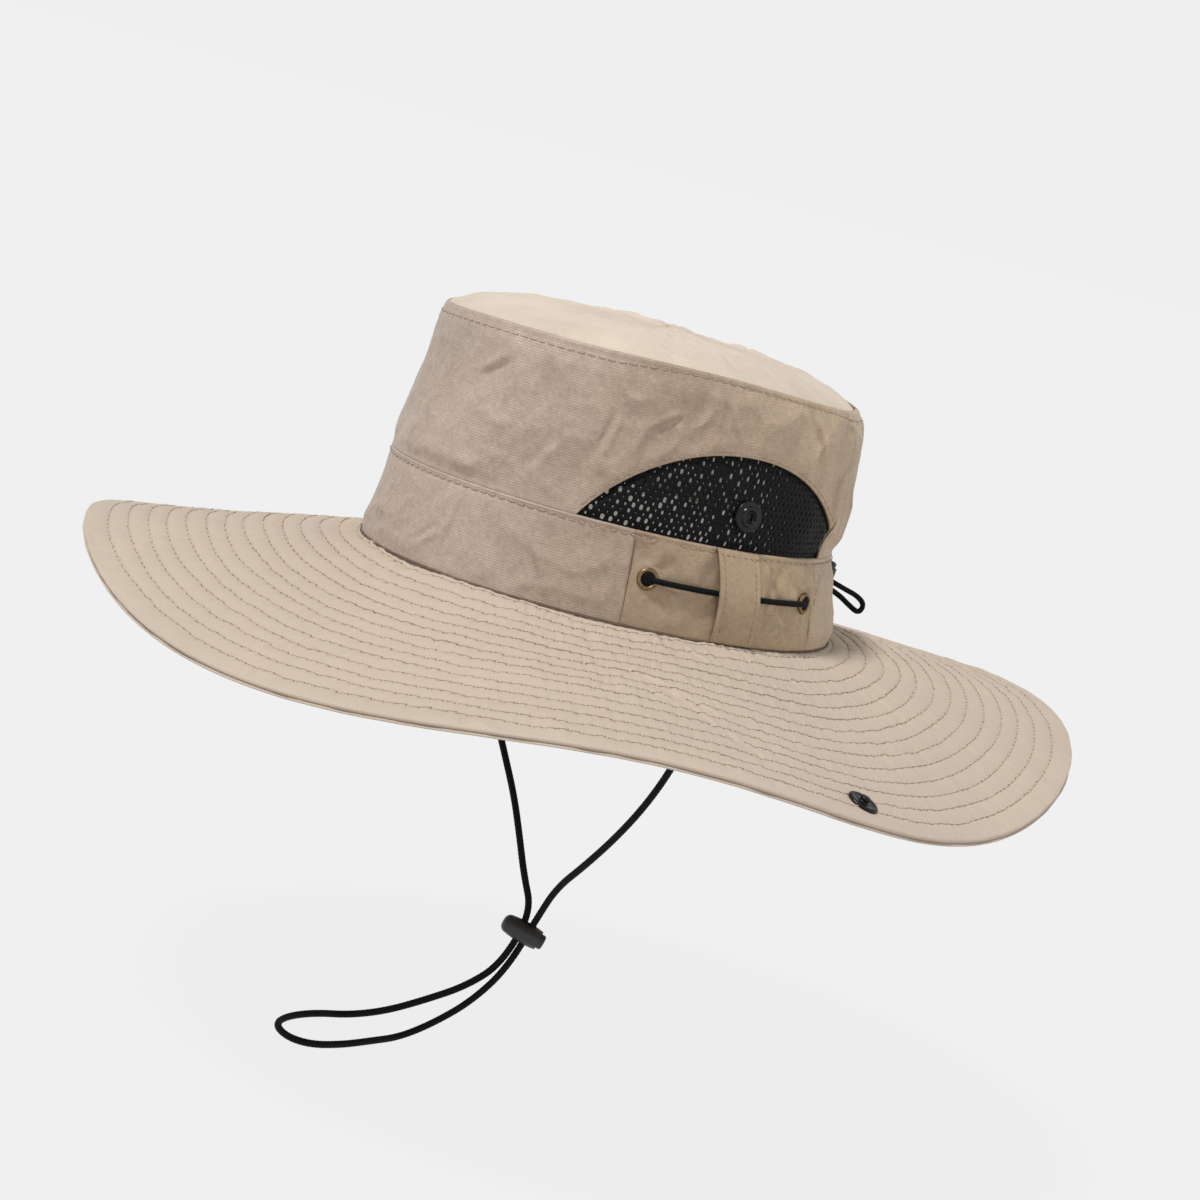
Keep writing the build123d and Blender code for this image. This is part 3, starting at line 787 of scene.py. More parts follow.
def brim():
    """Both halves of the quilted brim, each closed, and the stitches on them."""
    columns = 1800
    fine_rows = 134
    top_shares = np.linspace(0, 1 - 1.3 * MM / BRIM_SPREAD, fine_rows)
    under_shares = top_shares[::2]
    # the turned edge: two lobes of cloth with the closing seam between them, as (out, down) in mm
    lobes = ((-0.7, 0.0), (-0.2, 0.25), (0.05, 0.7), (0.05, 1.2), (-0.25, 1.65), (-1.1, 1.95),
             (-0.45, 2.15), (0.1, 2.4), (0.15, 2.75), (-0.15, 3.05), (-0.8, 3.2))
    turn = -pi / 2 + 2 * pi * np.arange(columns) / columns
    rows = [brim_top(s, turn) for s in top_shares]
    rim_x, rim_y, rim_z = brim_base(np.ones_like(turn), turn)
    outward_x = (HALF_LENGTH + BRIM_SPREAD) * np.cos(turn)
    outward_y = (HALF_WIDTH + BRIM_SPREAD) * np.sin(turn)
    size = np.hypot(outward_x, outward_y)
    wobble = 0.35 * ring_patch(turn, 160, 0 * turn, 71)
    for out, down in lobes:
        reach = (out + (wobble if down < 1.6 else -wobble) * 0.6) * MM
        rows.append(np.stack([rim_x + outward_x / size * reach, rim_y + outward_y / size * reach,
                              rim_z - (down + 0.3 * wobble) * MM], -1))
    rows += [brim_under(s, turn) for s in under_shares[::-1]]
    ring = np.stack(rows)
    ahead = np.roll(ring, -1, 1) - np.roll(ring, 1, 1)
    up = np.roll(ring, -1, 0) - np.roll(ring, 1, 0)
    normals = unit(np.cross(ahead, up))
    normals *= np.sign(normals[fine_rows // 2, 0, 2])
    total, under = len(rows), len(under_shares)
    half = columns // 2
    for side, word in enumerate(("left", "right")):
        flap = f"{word}_flap"
        pick = (np.arange(half + 1) + side * half) % columns
        wide = half + 1
        faces = quads(total, wide, True, False)
        for c in (0, wide - 1):
            for k in range(under - 1):
                a, b = 2 * k, 2 * k + 1
                low, high = total - 1 - k, total - 2 - k
                corner = [a, b, b + 1] if b + 1 < fine_rows else [a, b]
                faces.append(tuple(r * wide + c for r in (*corner, high, low)))
            last = 2 * (under - 1)
            end = list(range(last, fine_rows + len(lobes) + 1))
            faces.append(tuple(r * wide + c for r in end))
        sign = 1 - 2 * side
        zone = (flap, (sign * FOLD_START, 0, FOLD_LEVEL), (sign * FOLD_END, 0, FOLD_LEVEL))
        nodes = ["brim_upper", "brim_filler", "brim_lower"] if side == 0 else []
        nodes += [f"{flap}_{layer}" for layer in ("upper", "filler", "lower")]
        make(f"brim_{word}", ring[:, pick], faces, "brim", zone, nodes,
             normals[:, pick])
        rows_of_stitches = []
        arc = -pi / 2 + side * pi + np.linspace(0, pi, 700)
        for k in range(ROWS):
            marks, count = stitch_marks(k, arc)
            marks[-1] = count
            share = row_share(k) + 0.3 * MM / BRIM_SPREAD * np.sin(arc * 9 + k * 1.9)
            for surface, tilt in ((brim_top, 1), (brim_under, -1)):
                points = surface(share, arc)
                points[:, 2] += tilt * 0.1 * MM
                normal = np.zeros_like(points)
                normal[:, 2] = tilt
                rows_of_stitches.append((points, normal, False, marks))
        # the stitches' ends take the brim's painted shade for the needle holes
        stitches(f"brim_stitches_{word}", rows_of_stitches, "brim_thread", zone,
                 3.9 * MM, 0.5 * MM, 0.32 * MM, 5 + side, 0.41, "brim_hole_painted_shade")


# ---------------------------------------------------------------- crown


# folds pressed into the cloth: bearing in degrees, height, length, lean in degrees, depth in mm
CROWN_FOLDS = ((-44, 68, 15, 12, 1.3), (-76, 82, 13, 52, -1.2), (-30, 79, 11, 60, -1.0),
               (-12, 84, 16, -35, 1.0), (22, 84, 18, -38, 1.3), (-58, 54, 14, 30, 0.9),
               (38, 62, 16, 20, 1.1), (-95, 60, 18, -25, 1.0), (150, 70, 20, 25, 1.2))
BAND_FOLDS = ((-79, 11, 10, 50, 1.1), (-72, 21, 16, 6, -0.9), (-48, 14, 12, -30, 0.8),
              (-100, 18, 14, 20, 0.8))


def folds(turn, height, places):
    """Short creases, each a ridge beside a hollow, in mm."""
    degrees_to_mm = 1.66
    total = 0 * turn
    for bearing, level, length, lean, depth in places:
        across = ((np.degrees(turn) - bearing + 180) % 360 - 180) * degrees_to_mm
        up = height / MM - level
        tilt = radians(lean)
        off = (across * cos(tilt) - up * sin(tilt)) / 2.2
        along = (across * sin(tilt) + up * cos(tilt)) / (0.6 * length)
        total = total + depth * 1.7 * off * np.exp(-off**2 - along**4)
    return total


def crown_wave(points, height):
    """How far the crown's loose cloth stands off its oval."""
    flat = points.reshape(-1, 3) * (1, 1, 0.62)
    soft = crumple(flat, 0.055, 2).reshape(points.shape[:2])
    sharp = crumple(flat, 0.024, 5).reshape(points.shape[:2])
    held = ease((height - BAND_HEIGHT) / (9 * MM)) * ease((CROWN_HEIGHT - height) / (9 * MM))
    turn = np.arctan2(points[..., 1], points[..., 0])
    crisp = patch(turn * 60 / (2 * pi) + height / (23 * MM), height / (7 * MM), 91, 60)
    crisp = np.maximum(0, crisp - 0.15) * np.maximum(0, sharp)
    crisp = crisp + folds(turn, height, CROWN_FOLDS)
    calm = 1 - 0.45 * near(turn, -125, 35)
    return (1.8 * soft + 1.45 * sharp + 1.1 * crisp) * (0.25 + 0.75 * held) * calm * MM


def crown_side():
    """The tall wall, cut round both mesh windows, with its crumples and turned edges."""
    t_front = turn_at(WINDOW_FRONT, BAND_HEIGHT)
    t_shoulder = turn_at(WINDOW_TOP_REAR, WINDOW_SHOULDER)
    t_rear = turn_at(WINDOW_REAR, BAND_HEIGHT)
    fan = 0.24
    pieces = []
    turn = np.linspace(-pi / 2, t_front, 60, endpoint=False)
    pieces.append((turn, np.full_like(turn, BAND_HEIGHT), turn))
    y = np.linspace(WINDOW_FRONT, WINDOW_TOP_REAR, 170, endpoint=False)
    z = arch(y)
    turn = turn_at(y, z)
    pieces.append((turn, z, turn))
    s = np.linspace(0, 1, 16, endpoint=False)
    z = WINDOW_SHOULDER + (BAND_HEIGHT - WINDOW_SHOULDER) * s
    turn = turn_at(WINDOW_TOP_REAR + (WINDOW_REAR - WINDOW_TOP_REAR) * s, z)
    pieces.append((turn, z, t_shoulder + fan * s))
    s = np.linspace(0, 1, 84, endpoint=False)
    turn = t_rear + (pi / 2 - t_rear) * s
    pieces.append((turn, np.full_like(turn, BAND_HEIGHT), t_shoulder + fan
                   + (pi / 2 - t_shoulder - fan) * s))
    low_turn, low_z, high_turn = (np.concatenate(p) for p in zip(*pieces))
    low_turn = np.concatenate([low_turn, pi - np.append(low_turn[1:], pi / 2)[::-1]])
    high_turn = np.concatenate([high_turn, pi - np.append(high_turn[1:], pi / 2)[::-1]])
    low_z = np.concatenate([low_z, np.append(low_z[1:], BAND_HEIGHT)[::-1]])
    top = CROWN_HEIGHT + 0.3 * MM + seam_rise(high_turn)
    shares = np.concatenate([[0, 0.006, 0.014, 0.028], np.linspace(0.045, 0.965, 74),
                             [0.978, 0.989, 1.0]])
    s = shares[:, None]
    turn = low_turn + (high_turn - low_turn) * s
    height = low_z + (top - low_z) * s
    base = wall(turn, height)
    out = crown_wave(base, height)
    low_gap = (height - low_z) / MM
    high_gap = (top - height) / MM
    out = out * ease((low_gap + 1.5) / 7) + 0.3 * MM * ease(1 - low_gap / 1.6)
    out = out + slack(turn, height)
    out = out + (0.25 * ring_patch(turn, 150, height / (9 * MM), 31) * MM
                 * ease(1 - high_gap / 12))
    out = out - 0.55 * MM * np.exp(-low_gap / 0.35)
    out = out - 0.2 * MM * bell(high_gap - 2.2, 0.5)
    out = out - 0.5 * MM * np.exp(-high_gap / 0.35)
    shell("crown_wall", wall(turn, height, out), 1.0 * MM, wall_normal(turn, height), True,
          "crown", ["crown_side"])
    return low_turn, low_z, turn, height, out


def crown_lid():
    """The loosely domed top, gathered a little into its seam."""
    columns, rows = 360, 64
    turn = 2 * pi * np.arange(columns) / columns
    r = np.linspace(0.004, 1, rows)[:, None]
    across, along = half_axes(CROWN_HEIGHT, -0.1 * MM)
    x, y = across * r * np.cos(turn), along * r * np.sin(turn)
    pull = 1 + slack(turn, CROWN_HEIGHT) * r**3 / (r * along)
    x, y = x * pull, y * pull
    flat = np.stack([x, y, np.full_like(x, CROWN_HEIGHT)], -1)
    soft = crumple(flat.reshape(-1, 3), 0.05, 8).reshape(x.shape)
    crisp = crumple(flat.reshape(-1, 3), 0.02, 9).reshape(x.shape)
    gather = ring_patch(np.broadcast_to(turn, x.shape), 110, r * 5 + 0 * x, 17)
    dome = 9.3 * (1 - r**4) * (1 - 0.35 * near(turn, 60, 60) * r)
    inside = ease((1 - r) * 9)
    rise = dome + (1.1 * soft + 0.6 * crisp) * inside + 0.5 * gather * ease((1 - r) * 14)
    z = CROWN_HEIGHT + seam_rise(turn) * r**2 + rise * MM - 0.6 * MM * np.exp(-(1 - r) * 90)
    top = np.stack([x, y, z + 0 * x], -1)
    under = top - np.array([0, 0, 1.0 * MM])
    count = rows * columns
    faces = quads(rows, columns, False, True) + quads(rows, columns, False, True, count)
    for c in range(columns):
        d = (c + 1) % columns
        a, b = (rows - 1) * columns + c, (rows - 1) * columns + d
        faces.append((a, b, count + b, count + a))
    faces.append(tuple(range(columns)))
    faces.append(tuple(range(count, count + columns)))
    make("crown_lid", np.concatenate([top.reshape(-1, 3), under.reshape(-1, 3)]), faces,
         "top", "hat", ["crown_top"])


def pucker(out, y, z):
    """Adds to a side panel's relief, in mm: creases from the eyelets and folds by the keeper."""
    for ey, ez in EYELETS:
        dy, dz = (y - ey) / MM, (z - ez) / MM
        away = np.hypot(dy, dz)
        angle = np.arctan2(dz, dy)
        rays = np.cos(angle * 7 + ey * 400) * 0.5 + np.cos(angle * 4 + 1.3) * 0.5
        out = out + 0.9 * rays * ease((away - 4) / 3) * bell(away - 5, 12)
    y, z = y / MM, z / MM
    beside = bell(y - 14, 3.5) - bell(y - 19 - 0.3 * (z - 18), 3)
    cross = bell(y - 24 + 0.6 * (z - 20), 2.2)
    ahead = bell(y + 14, 4)
    out = out + (1.2 * beside - 1.5 * cross - 0.8 * ahead) * ease(z / 12) * ease((35 - z) / 6)
    for ey, ez in EYELETS:
        away = np.hypot(y - ey / MM, z - ez / MM)
        flat = ease((away - 4.4) / 3.5)
        out = out * flat + 0.25 * (1 - flat)
    return out


def band_panel(name, start, end, side, nodes, finish="crown", columns=200, relief=None, seed=3):
    """A panel of the band between two turns, with a turned top edge and a tucked foot."""
    turn = np.linspace(start, end, columns)
    levels = np.concatenate([[-1.6, -0.6, 0.0, 0.4, 0.9], np.linspace(1.6, 34.2, 44),
                             [34.9, 35.4, 35.9, 36.2]])
    height = levels[:, None] * MM
    edge = np.minimum(turn - start, end - turn) * 95
    seam = degrees(turn_at(SIDE_FRONT, SEAM_LEVEL))
    lean = near(turn, seam, 7) - near(turn, -180 - seam, 7)
    turn, height = np.broadcast_arrays(turn - 0.026 * lean * height / BAND_HEIGHT, height)
    base = wall(turn, height)
    low, high = height / MM, levels[-1] - height / MM
    waves = crumple(base.reshape(-1, 3), 0.035, seed).reshape(height.shape)
    out = 1.0 * waves * ease(low / 7) * ease(high / 7) + 0.4 * ease(1 - high / 2.0)
    out = out + 0.16 * ring_patch(turn, 170, low / 6, seed + 20) * ease(high / 2)
    out = out + folds(turn, height, BAND_FOLDS) * ease(low / 5) * ease(high / 5)
    out = out - 0.5 * np.exp(-(low + 0.6) / 0.5) - 0.55 * np.exp(-high / 0.3)
    out = out - 0.22 * bell(high - 2.0, 0.5)
    if relief is not None:
        shaped = relief(out, wall(turn, height)[..., 1], height)
        out = out + (shaped - out) * ease(edge / 6)
    out = out - 0.5 * np.exp(-edge / 0.5)
    outer = wall(turn, height, out * MM + slack(turn, height)) * (side, 1, 1)
    normals = wall_normal(turn, height) * (side, 1, 1)
    shell(name, outer, 1.3 * MM, normals, False, finish, nodes)


def bands():
    """Front and rear bands, and the side panels with their eyelets."""
    front, rear = turn_at(SIDE_FRONT, SEAM_LEVEL), turn_at(SIDE_REAR, SEAM_LEVEL)
    band_panel("band_front", -pi - front, front, 1, ["band_front"], columns=300, seed=3)
    band_panel("band_rear", rear, pi - rear, 1, ["band_rear"], columns=260, seed=6)
    for side, word in SIDES:
        band_panel(f"side_panel_{word}", front, rear, side, [f"side_panel_{word}"],
                   "side", 220, pucker, 4)
        spots = [wall_spot(side, turn_at(y, z), z, 0.45 * MM) for y, z in EYELETS]
        lathe(f"eyelets_{word}", spots, EYELET_PROFILE, "eyelet", [f"eyelets_{word}"])
    spots = []
    for x in (BACK_EYELET[0], -BACK_EYELET[0]):
        turn = acos(x / half_axes(BACK_EYELET[1])[0])
        spots.append(wall_spot(1, turn, BACK_EYELET[1], 0.3 * MM))
    lathe("eyelets_rear", spots, EYELET_PROFILE, "eyelet", ["eyelets_rear"])


EYELET_PROFILE = ((2.5, -2.35), (2.5, -0.5), (2.6, 0.0), (2.9, 0.4), (3.3, 0.62), (3.7, 0.6),
                  (4.1, 0.35), (4.4, 0.0), (4.4, -0.3), (3.9, -0.1), (3.0, -0.1), (3.0, -1.75),
                  (4.4, -1.8), (4.3, -2.2), (3.8, -2.35))


def top_stitching(low_turn, low_z, turn, height, out):
    """The rows of stitching on the crown, its band and its windows."""
    rows = []

    def wall_row(turns, heights, outs, closed):
        rows.append((wall(turns, heights, outs), wall_normal(turns, heights), closed))

    around = np.linspace(0, 2 * pi, 720, endpoint=False)
    top = height.shape[0] - 6
    wall_row(turn[top], height[top], out[top] + 0.12 * MM, True)
    band_line = 34.2 * MM
    wall_row(around, band_line, 0.28 * MM + slack(around, band_line), True)
    stitched = 4
    for side in (1, -1):
        keep = (np.cos(low_turn) * side > 0) & (low_z > BAND_HEIGHT + 1 * MM)
        points = wall(turn[stitched][keep], height[stitched][keep], out[stitched][keep] + 0.1 * MM)
        rows.append((points, wall_normal(turn[stitched][keep], height[stitched][keep]), False))
        for y in (SIDE_FRONT - 2.8 * MM, SIDE_REAR + 1.8 * MM):
            heights = np.linspace(3 * MM, 31 * MM, 40)
            points = wall(turn_at(y, heights), heights, 0.15 * MM)
            normal = wall_normal(turn_at(y, heights), heights)
            rows.append((points * (side, 1, 1), normal * (side, 1, 1), False))
    stitches("crown_stitches", rows, length=3.3 * MM, gap=0.8 * MM,
             radius=0.2 * MM, seed=3, holes=0.38)


def welt():
    """A cord of turned edges in the seam between the crown and the brim, near black: painted shade
    in the crease between them.
    """
    turn = 2 * pi * np.arange(900) / 900
    across = 2 * pi * np.arange(8) / 8
    lump = 0.3 + 0.1 * ring_patch(turn, 330, 0 * turn, 77)
    share = (BAND_FABRIC + 0.5 * MM) / BRIM_SPREAD
    sag = slack(turn, 0.0)
    low = edge_height(turn) * (share + sag / BRIM_SPREAD)
    rows = [wall(turn, 0.0, sag + (0.2 + lump * cos(a)) * MM)
            + np.stack([0 * turn, 0 * turn, low + (0.05 + lump * sin(a)) * MM], -1)
            for a in across]
    make("base_seam_painted_shade", np.stack(rows), quads(8, 900, True, True), "seam", "hat")


def keeper(side, word):
    """The leaning cloth strap that the drawcord runs under, sewn down at its head and foot."""
    foot = HALF_WIDTH + 0.1 * MM
    head = half_axes(BAND_HEIGHT)[0] + 0.1 * MM
    z = np.linspace(0, 36.3 * MM, 60)
    head_row = 56
    share = z / z[-1]
    smooth = foot + (head - foot) * share + (1.1 + 3.7 * np.sin(pi * share) ** 0.85) * MM
    half = 10 * MM
    across = np.concatenate([[-1, -0.985, -0.95], np.linspace(-0.9, 0.9, 26), [0.95, 0.985, 1]])
    lean = (1 - share) * 5.5 * MM - 2.6 * MM
    y = lean[:, None] + across * half
    fold = 0.22 * MM * bell(np.abs(across) - 0.77, 0.07)
    x = smooth[:, None] - fold - 0.5 * MM * np.exp(-(1 - np.abs(across)) / 0.02)
    x = x + 0.14 * MM * patch(y / (6 * MM) + 40, z[:, None] / (9 * MM) + 0 * y, 9 + side)
    # the strap follows the band's curve near its ends
    x = x - (y**2) * 3.4 * np.abs(2 * share[:, None] - 1)
    outer = np.stack([side * x, y, z[:, None] + 0 * x], -1)
    normals = np.zeros_like(outer)
    normals[..., 0] = side
    shell(f"keeper_{word}", outer, 1.0 * MM, normals, False, "side",
          [f"keeper_{word}"])
    rows = []
    for k in (-0.77, 0.77):
        face = np.array([np.interp(k, across, row) for row in x]) + 0.16 * MM
        points = np.stack([side * face, lean + k * half, z], -1)
        rows.append((points[2:-2], normals[2:-2, 0], False))
    rows.append((outer[head_row] + normals[head_row] * 0.14 * MM, normals[head_row], False))
    stitches(f"keeper_stitches_{word}", rows, length=1.6 * MM, gap=1.1 * MM,
             radius=0.17 * MM, seed=12 + side)


def sweatband():
    """The soft inner band, turned out at its foot into the crown's seam, with its stitching."""
    turn = 2 * pi * np.arange(300) / 300
    levels = np.array([(0.0, -1.7), (0.3, -2.6), (0.6, -3.8), (1.3, -4.8), (3, -5.1), (8, -5.1),
                       (14, -5.0), (20, -5.1), (26, -5.0), (31, -5.1), (33.4, -5.2), (34, -5.5)])
    height = (levels[:, 0] * MM)[:, None] + 0 * turn
    out = (levels[:, 1] * MM)[:, None] + 0 * turn
    out = out + (0.35 * MM * ring_patch(turn + 0 * height, 50, height / (12 * MM), 61)
                 * ease(height / (4 * MM)))
    shell("sweatband", wall(turn, height, out), 0.9 * MM, wall_normal(turn, height), True,
          "lining", ["sweatband"])
    rows = []
    for level in (3, 31):
        normal = -wall_normal(turn, level * MM)
        rows.append((wall(turn, level * MM, -6.1 * MM), normal, True))
    stitches("sweatband_stitches", rows, seed=8)


def vents():
    """Knitted mesh behind each window: a real holed sheet, in a leaning hexagon pattern."""
    pitch = 2.75
    for side, word in SIDES:
        random = np.random.default_rng(40 + side)
        points, faces = [], []
        ring = 12
        row_gap = pitch * sqrt(3) / 2
        index = {}

        def corner(px, pz):
            """A shared corner of the honeycomb."""
            key = (round(px, 2), round(pz, 2))
            if key not in index:
                index[key] = len(points)
                points.extend([(px, pz, 0), (px, pz, 1)])
            return index[key]

        for j in range(-1, 19):
            for i in range(-30, 30):
                cy = i * pitch + (j % 2) * pitch / 2
                cz = 33 + j * row_gap
                if not -70 < cy < 61:
                    continue
                roof = arch(np.clip(cy * MM, WINDOW_FRONT, WINDOW_TOP_REAR)) / MM
                if cz > roof + 3.2 or cz < 32 or (cy > 57 and cz > 50) or cy < -69:
                    continue
                open_hole = ((i - j // 2 - j) % 3 == 0) != (random.random() < 0.1)
                size = pitch * (random.uniform(0.2, 0.31) if open_hole
                                else random.uniform(0.06, 0.16))
                size *= 1 - 0.45 * ease((cy + 2) / 30)
                hole = len(points)
                shift_y, shift_z = random.uniform(-0.14, 0.14, 2)
                for k in range(ring):
                    a = 2 * pi * k / ring + pi / 6
                    wide = size * (1.1 + 0.28 * cos(2 * a - 2.9))
                    here = cy + shift_y + wide * cos(a), cz + shift_z + wide * sin(a)
                    points += [(*here, 2), (*here, 3)]
                outline = []
                for k in range(6):
                    a, b = pi / 6 + k * pi / 3, pi / 6 + (k + 1) * pi / 3
                    r = pitch / sqrt(3)
                    p = (cy + r * cos(a), cz + r * sin(a))
                    q = (cy + r * cos(b), cz + r * sin(b))
                    outline.append(corner(*p))
                    outline.append(corner((p[0] + q[0]) / 2, (p[1] + q[1]) / 2))
                for k in range(ring):
                    m = (k + 1) % ring
                    for face in (0, 1):
                        faces.append((outline[k] + face, outline[m] + face,
                                      hole + 2 * m + face, hole + 2 * k + face))
                    faces.append((hole + 2 * k, hole + 2 * m, hole + 2 * m + 1, hole + 2 * k + 1))
        # the outside of the sheet is closed where a corner's edge has only one cell
        count = {}
        for face in faces:
            for a, b in zip(face, face[1:] + face[:1]):
                key = (min(a, b), max(a, b))
                count[key] = count.get(key, 0) + 1
        rim = [(a, b) for (a, b), n in count.items() if n == 1 and b - a != 1]
        for a, b in rim:
            if points[a][2] == 0 and points[b][2] == 0:
                faces.append((a, b, b + 1, a + 1))
        y, z, kind = np.array(points).T
        y, z = y * MM, z * MM
        roof = arch(np.clip(y, WINDOW_FRONT, WINDOW_TOP_REAR))
        inset = np.minimum.reduce([roof - z, z - BAND_HEIGHT, (y - WINDOW_FRONT) * 0.8,
                                   WINDOW_TOP_REAR - y]) / MM
        turn = turn_at(y, z)
        bulge = -1.5 + 1.25 * ease(inset / 5) + 0.35 * patch(y / (9 * MM) + 50, z / (9 * MM), 44)
        # knitted yarn stands up between the holes; even kinds are outside, odd ones inside
        lift = np.array([0.16, -0.6, -0.05, -0.6])[kind.astype(int)]
        placed = wall(turn, z, (bulge + lift) * MM + slack(turn, z)) * (side, 1, 1)
        make(f"mesh_{word}", placed, faces, "mesh", "hat", [f"mesh_{word}"])


# ---------------------------------------------------------------- snap fasteners

SOCKET = ((0, 0.75), (2.1, 0.75), (2.4, 0.9), (2.5, 1.3), (2.5, 2.3), (2.75, 2.55), (3.5, 2.6),
          (3.95, 2.35), (4.15, 1.75), (4.4, 1.5), (5.2, 1.62), (5.75, 1.6), (6.15, 1.3),
          (6.25, 0.9), (6.25, 0.25), (0, 0.25))
STUD = ((0, 3.15), (1.3, 3.12), (1.85, 2.9), (2.1, 2.5), (1.95, 1.9), (1.7, 1.4), (2.0, 1.2),
        (3.0, 1.0), (3.9, 1.05), (4.8, 1.3), (5.6, 1.35), (6.1, 1.05), (6.25, 0.7), (6.25, 0.25),
        (0, 0.25))
CAP = ((0, -1.1), (3.2, -1.15), (4.9, -1.05), (5.8, -0.8), (6.2, -0.4), (6.25, -0.1), (6.1, 0.05),
       (1.6, 0.1), (1.5, 0.9), (0, 0.9))


def snaps():
    """Sockets on the vents, studs on the flaps, and the caps behind them."""
    for side, word in SIDES:
        y, z = CROWN_SNAP
        origin, axis = wall_spot(side, turn_at(y, z), z, 0.1 * MM)
        lathe(f"crown_snap_{word}", [(origin, axis)], SOCKET, "snap",
              [f"crown_snap_{word}"])
        lathe(f"crown_snap_cap_{word}", [(origin - axis * 1.1 * MM, axis)], CAP, "snap",
              [f"crown_snap_cap_{word}"])
        # the spring wire inside the socket
        lathe(f"crown_snap_spring_{word}", [(origin, axis)],
              ((1.75, 1.9), (1.85, 2.1), (2.05, 2.18), (2.25, 2.1), (2.35, 1.9), (2.05, 1.7)),
              "snap")
        x, y = side * BRIM_SNAP[0], BRIM_SNAP[1]
        share, turn = brim_at(x, y)
        here = Vector(np.stack(brim_base(share, turn)))
        right = Vector(np.stack(brim_base(share, turn + 0.01))) - here
        out = Vector(np.stack(brim_base(share + 0.01, turn))) - here
        axis = out.cross(right).normalized()
        if axis.z < 0:
            axis = -axis
        flap = f"{word}_flap"
        lathe(f"brim_snap_{word}", [(here, axis)], STUD, "snap", [f"brim_snap_{word}"],
              flap)
        lathe(f"brim_snap_cap_{word}", [(here - axis * 3.1 * MM, axis)], CAP, "snap",
              [f"brim_snap_cap_{word}"], flap)


# ---------------------------------------------------------------- cords


def spline_points(route):
    """Points along the smooth NURBS line of a route in mm."""
    curve = bpy.data.curves.new("route", "CURVE")
    curve.dimensions = "3D"
    curve.resolution_u = 16
    spline = curve.splines.new("NURBS")
    spline.points.add(len(route) - 1)
    for point, place in zip(spline.points, route):
        point.co = (*(Vector(place) * MM), 1)
    spline.order_u = 3
    spline.use_endpoint_u = True
    holder = add("route", curve)
    bpy.context.view_layer.update()
    mesh = bpy.data.meshes.new_from_object(holder)
    points = np.array([v.co for v in mesh.vertices])
    bpy.data.objects.remove(holder)
    bpy.data.curves.remove(curve)
    bpy.data.meshes.remove(mesh)
    return points


def braid(name, path, diameter, nodes):
    """A braided tube along a path, its strands crossing both ways."""
    far = distances(path)
    count = int(far[-1] / (0.45 * MM))
    at = np.linspace(0, far[-1], count)
    line = sample(at, far, path)
    for _ in range(3):
        line[1:-1] = (line[:-2] + 2 * line[1:-1] + line[2:]) / 4
    ahead = unit(np.gradient(line, axis=0))
    sides = 20
    turn = 2 * pi * np.arange(sides) / sides
    points = np.empty((count, sides, 3))
    normal = np.array(Vector(ahead[0]).orthogonal().normalized())
    for i in range(count):
        normal = unit(normal - ahead[i] * normal.dot(ahead[i]))
        other = np.cross(ahead[i], normal)
        pitch = 2 * pi * at[i] / (3.6 * MM)
        weave = 0.5 * (np.sin(5 * turn + pitch) * np.sin(5 * turn - pitch))
        radius = diameter / 2 * (0.97 + 0.09 * weave)[:, None]
        around = np.cos(turn)[:, None] * normal + np.sin(turn)[:, None] * other
        points[i] = line[i] + around * radius
    return make(name, points, tube(count, sides), "cord", "hat", nodes)


BACK_EXIT = (5.0, 101.0, 17.0)
BACK_LOOP = (
    BACK_EXIT, (4.2, 105.3, 17.6), (0.0, 110.2, 20.2), (0.0, 129.4, 14.6), (0.0, 138.2, 12.4),
    (0.0, 143.8, 9.0), (0.0, 141.8, 4.6), (0.0, 135.2, 7.6), (0.0, 126.6, 12.1),
    (0.0, 109.3, 17.2), (-4.2, 105.3, 17.1), (-5.0, 101.0, 17.0),
)
CHIN_ROUTE = (
    (85.2, 0.0, -9.0), (85.2, 0.0, -21.0), (83.5, 0.4, -38.0), (77.0, 0.8, -56.0),
    (66.5, 1.4, -74.5), (53.0, 2.0, -92.5), (37.0, 3.0, -110.0), (20.5, 4.8, -125.5),
    (8.9, 8.1, -142.2), (4.7, 2.6, -167.3), (0.0, -7.0, -184.0), (-6.0, -18.0, -196.5),
    (-10.0, -31.0, -205.5), (-4.0, -49.0, -205.5), (1.5, -66.0, -205.5), (3.0, -82.0, -205.5),
    (-5.0, -89.5, -205.5), (-19.0, -87.0, -205.5), (-28.5, -75.5, -205.5),
    (-33.5, -59.0, -205.5), (-33.0, -43.0, -205.5), (-24.0, -31.5, -199.5),
    (-13.5, -20.0, -189.5), (-4.5, -9.0, -179.5), (2.9, 0.2, -166.5), (7.1, 5.7, -141.5),
    (-4.0, 4.8, -128.5), (-13.0, 4.0, -114.5), (-23.5, 3.4, -100.0), (-38.0, 2.5, -84.5),
    (-53.0, 1.8, -69.0), (-67.0, 1.0, -53.5), (-79.5, 0.4, -37.0), (-85.2, 0.0, -21.0),
    (-85.2, 0.0, -9.0),
)


def drawcord_route(side):
    """Knot inside the front eyelet, over the side panel, back inside, and round to the rear."""
    lift, deep = 2.3 * MM, -3.65 * MM
    (front_y, high), (rear_y, _) = EYELETS
    front, rear = turn_at(front_y, high), turn_at(rear_y, high)
    back = acos(BACK_EYELET[0] / half_axes(BACK_EYELET[1])[0])
    route = [wall(front, high, deep), wall(front, high, lift)]
    route += [wall(turn_at(y * MM, high), high, lift) for y in (-20, 1, 22)]
    route.append(wall(rear, high, lift))
    for step in range(13):
        share = step / 12
        route.append(wall(rear + (back - rear) * share,
                          high + (BACK_EYELET[1] - high) * share, deep))
    route = [np.array(p) / MM for p in route] + [np.array(BACK_EXIT)]
    return [(side * p[0], p[1], p[2]) for p in route]


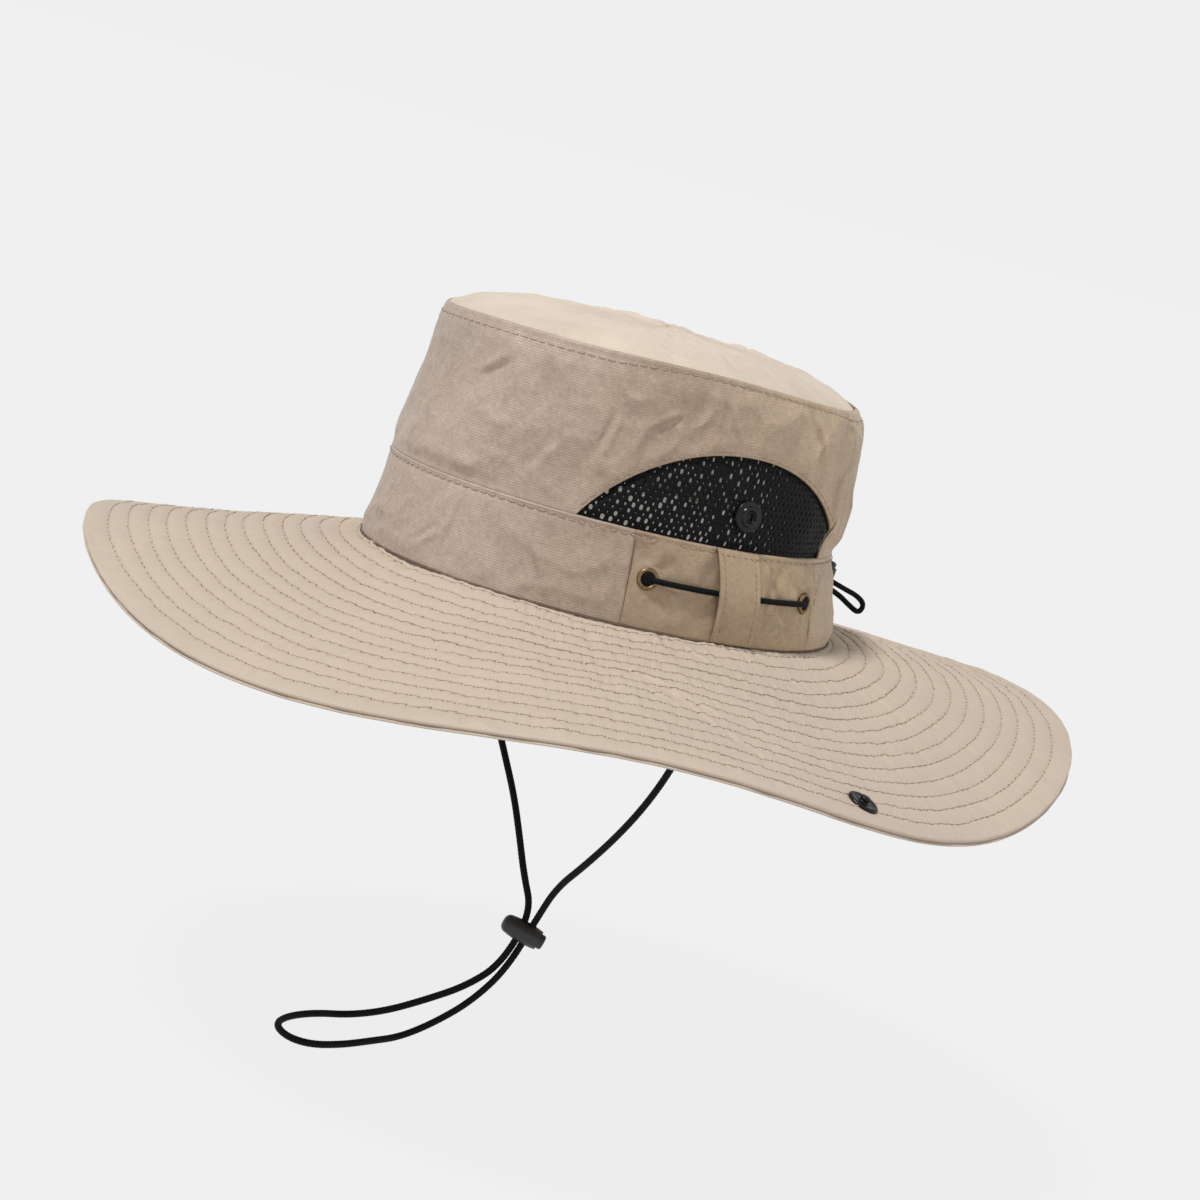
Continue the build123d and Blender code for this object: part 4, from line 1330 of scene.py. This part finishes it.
def cords():
    chin = spline_points(CHIN_ROUTE)
    piece = braid("chin_cord", chin, 3.0 * MM, ["chin_cord"])
    loop = spline_points(BACK_LOOP)
    piece = braid("drawcord_loop", loop, 2.4 * MM, ["drawcord_loop"])
    for side, word in SIDES:
        route = drawcord_route(side)
        braid(f"drawcord_{word}", spline_points(route), 2.4 * MM, [f"drawcord_{word}"])
        # the knot is real; its nose is widened over the ring's inner lip, painting shade into the
        # front eyelet's hole
        knot, toward = Vector(route[0]), Vector(route[1]) - Vector(route[0])
        lathe(f"drawcord_knot_{word}", [(knot * MM, toward.normalized())],
              ((0, -1.5), (1.7, -1.45), (2.9, -1.0), (3.35, -0.1), (2.9, 0.7), (2.45, 1.3),
               (2.4, 3.9), (2.85, 4.2), (2.9, 4.5), (2.3, 4.8), (1.2, 4.95), (0, 5.0)),
              "cord")
        # painted shade: a cord-black plug filling the rear eyelet's hole, so that its channel
        # reads dark
        rear, inward = Vector(route[5]), Vector(route[6]) - Vector(route[5])
        lathe(f"drawcord_bunch_{word}", [(rear * MM, inward.normalized())],
              ((0, 0.95), (1.2, 1.0), (2.3, 1.15), (2.9, 1.45), (2.85, 1.75), (2.4, 2.1),
               (2.4, 5.0), (2.0, 5.6), (0, 5.8)),
              "cord")


def springs():
    """Gives each lock's spring a mesh of its own."""
    for place, axis in (("chin", (-0.5784, -0.7719, 0.2639)), ("back", (0.0, -0.28, -0.96))):
        spring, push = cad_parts[f"{place}_lock_spring"], Vector(axis)
        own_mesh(spring)


def tabs():
    """Folded cloth tabs sewn into the seam, each holding one end of the chin cord."""
    for side, word in SIDES:
        low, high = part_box(f"chin_tab_{word}")
        middle = (low + high) / 2
        levels, sides = 24, 40
        turn = np.linspace(0, 2 * pi, sides, endpoint=False)
        half_x, half_y = (high.x - low.x) / 2, (high.y - low.y) / 2
        rows = []
        for share in np.linspace(0, 1, levels):
            z = high.z + (low.z - high.z) * share
            fat = 1.0 - 0.25 * bell(share - 0.5, 0.1)
            end = sqrt(max(0.02, 1 - max(0, (share - 0.8) / 0.2) ** 2))
            x = np.sign(np.cos(turn)) * np.abs(np.cos(turn)) ** 0.6 * half_x * fat * end
            y = np.sign(np.sin(turn)) * np.abs(np.sin(turn)) ** 0.35 * half_y * (0.85 + 0.15 * end)
            rows.append(np.stack([middle.x + x, middle.y + y, z + 0 * x], -1))
        make(f"chin_tab_{word}", np.stack(rows), tube(levels, sides), "crown", "hat",
             [f"chin_tab_{word}"])


# ---------------------------------------------------------------- assembly

camera()
light()
floor()
scene.view_settings.view_transform = "Standard"
cords()
brim()
wall_grid = crown_side()
crown_lid()
bands()
top_stitching(*wall_grid)
welt()
for side, word in SIDES:
    keeper(side, word)
sweatband()
vents()
snaps()
tabs()
for name, finish in (("body", "plastic"), ("button", "plastic"), ("spring", "steel")):
    for place in ("chin", "back"):
        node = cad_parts[f"{place}_lock_{name}"]
        node.data.materials.clear()
        node.data.materials.append(MATERIALS[finish])
springs()
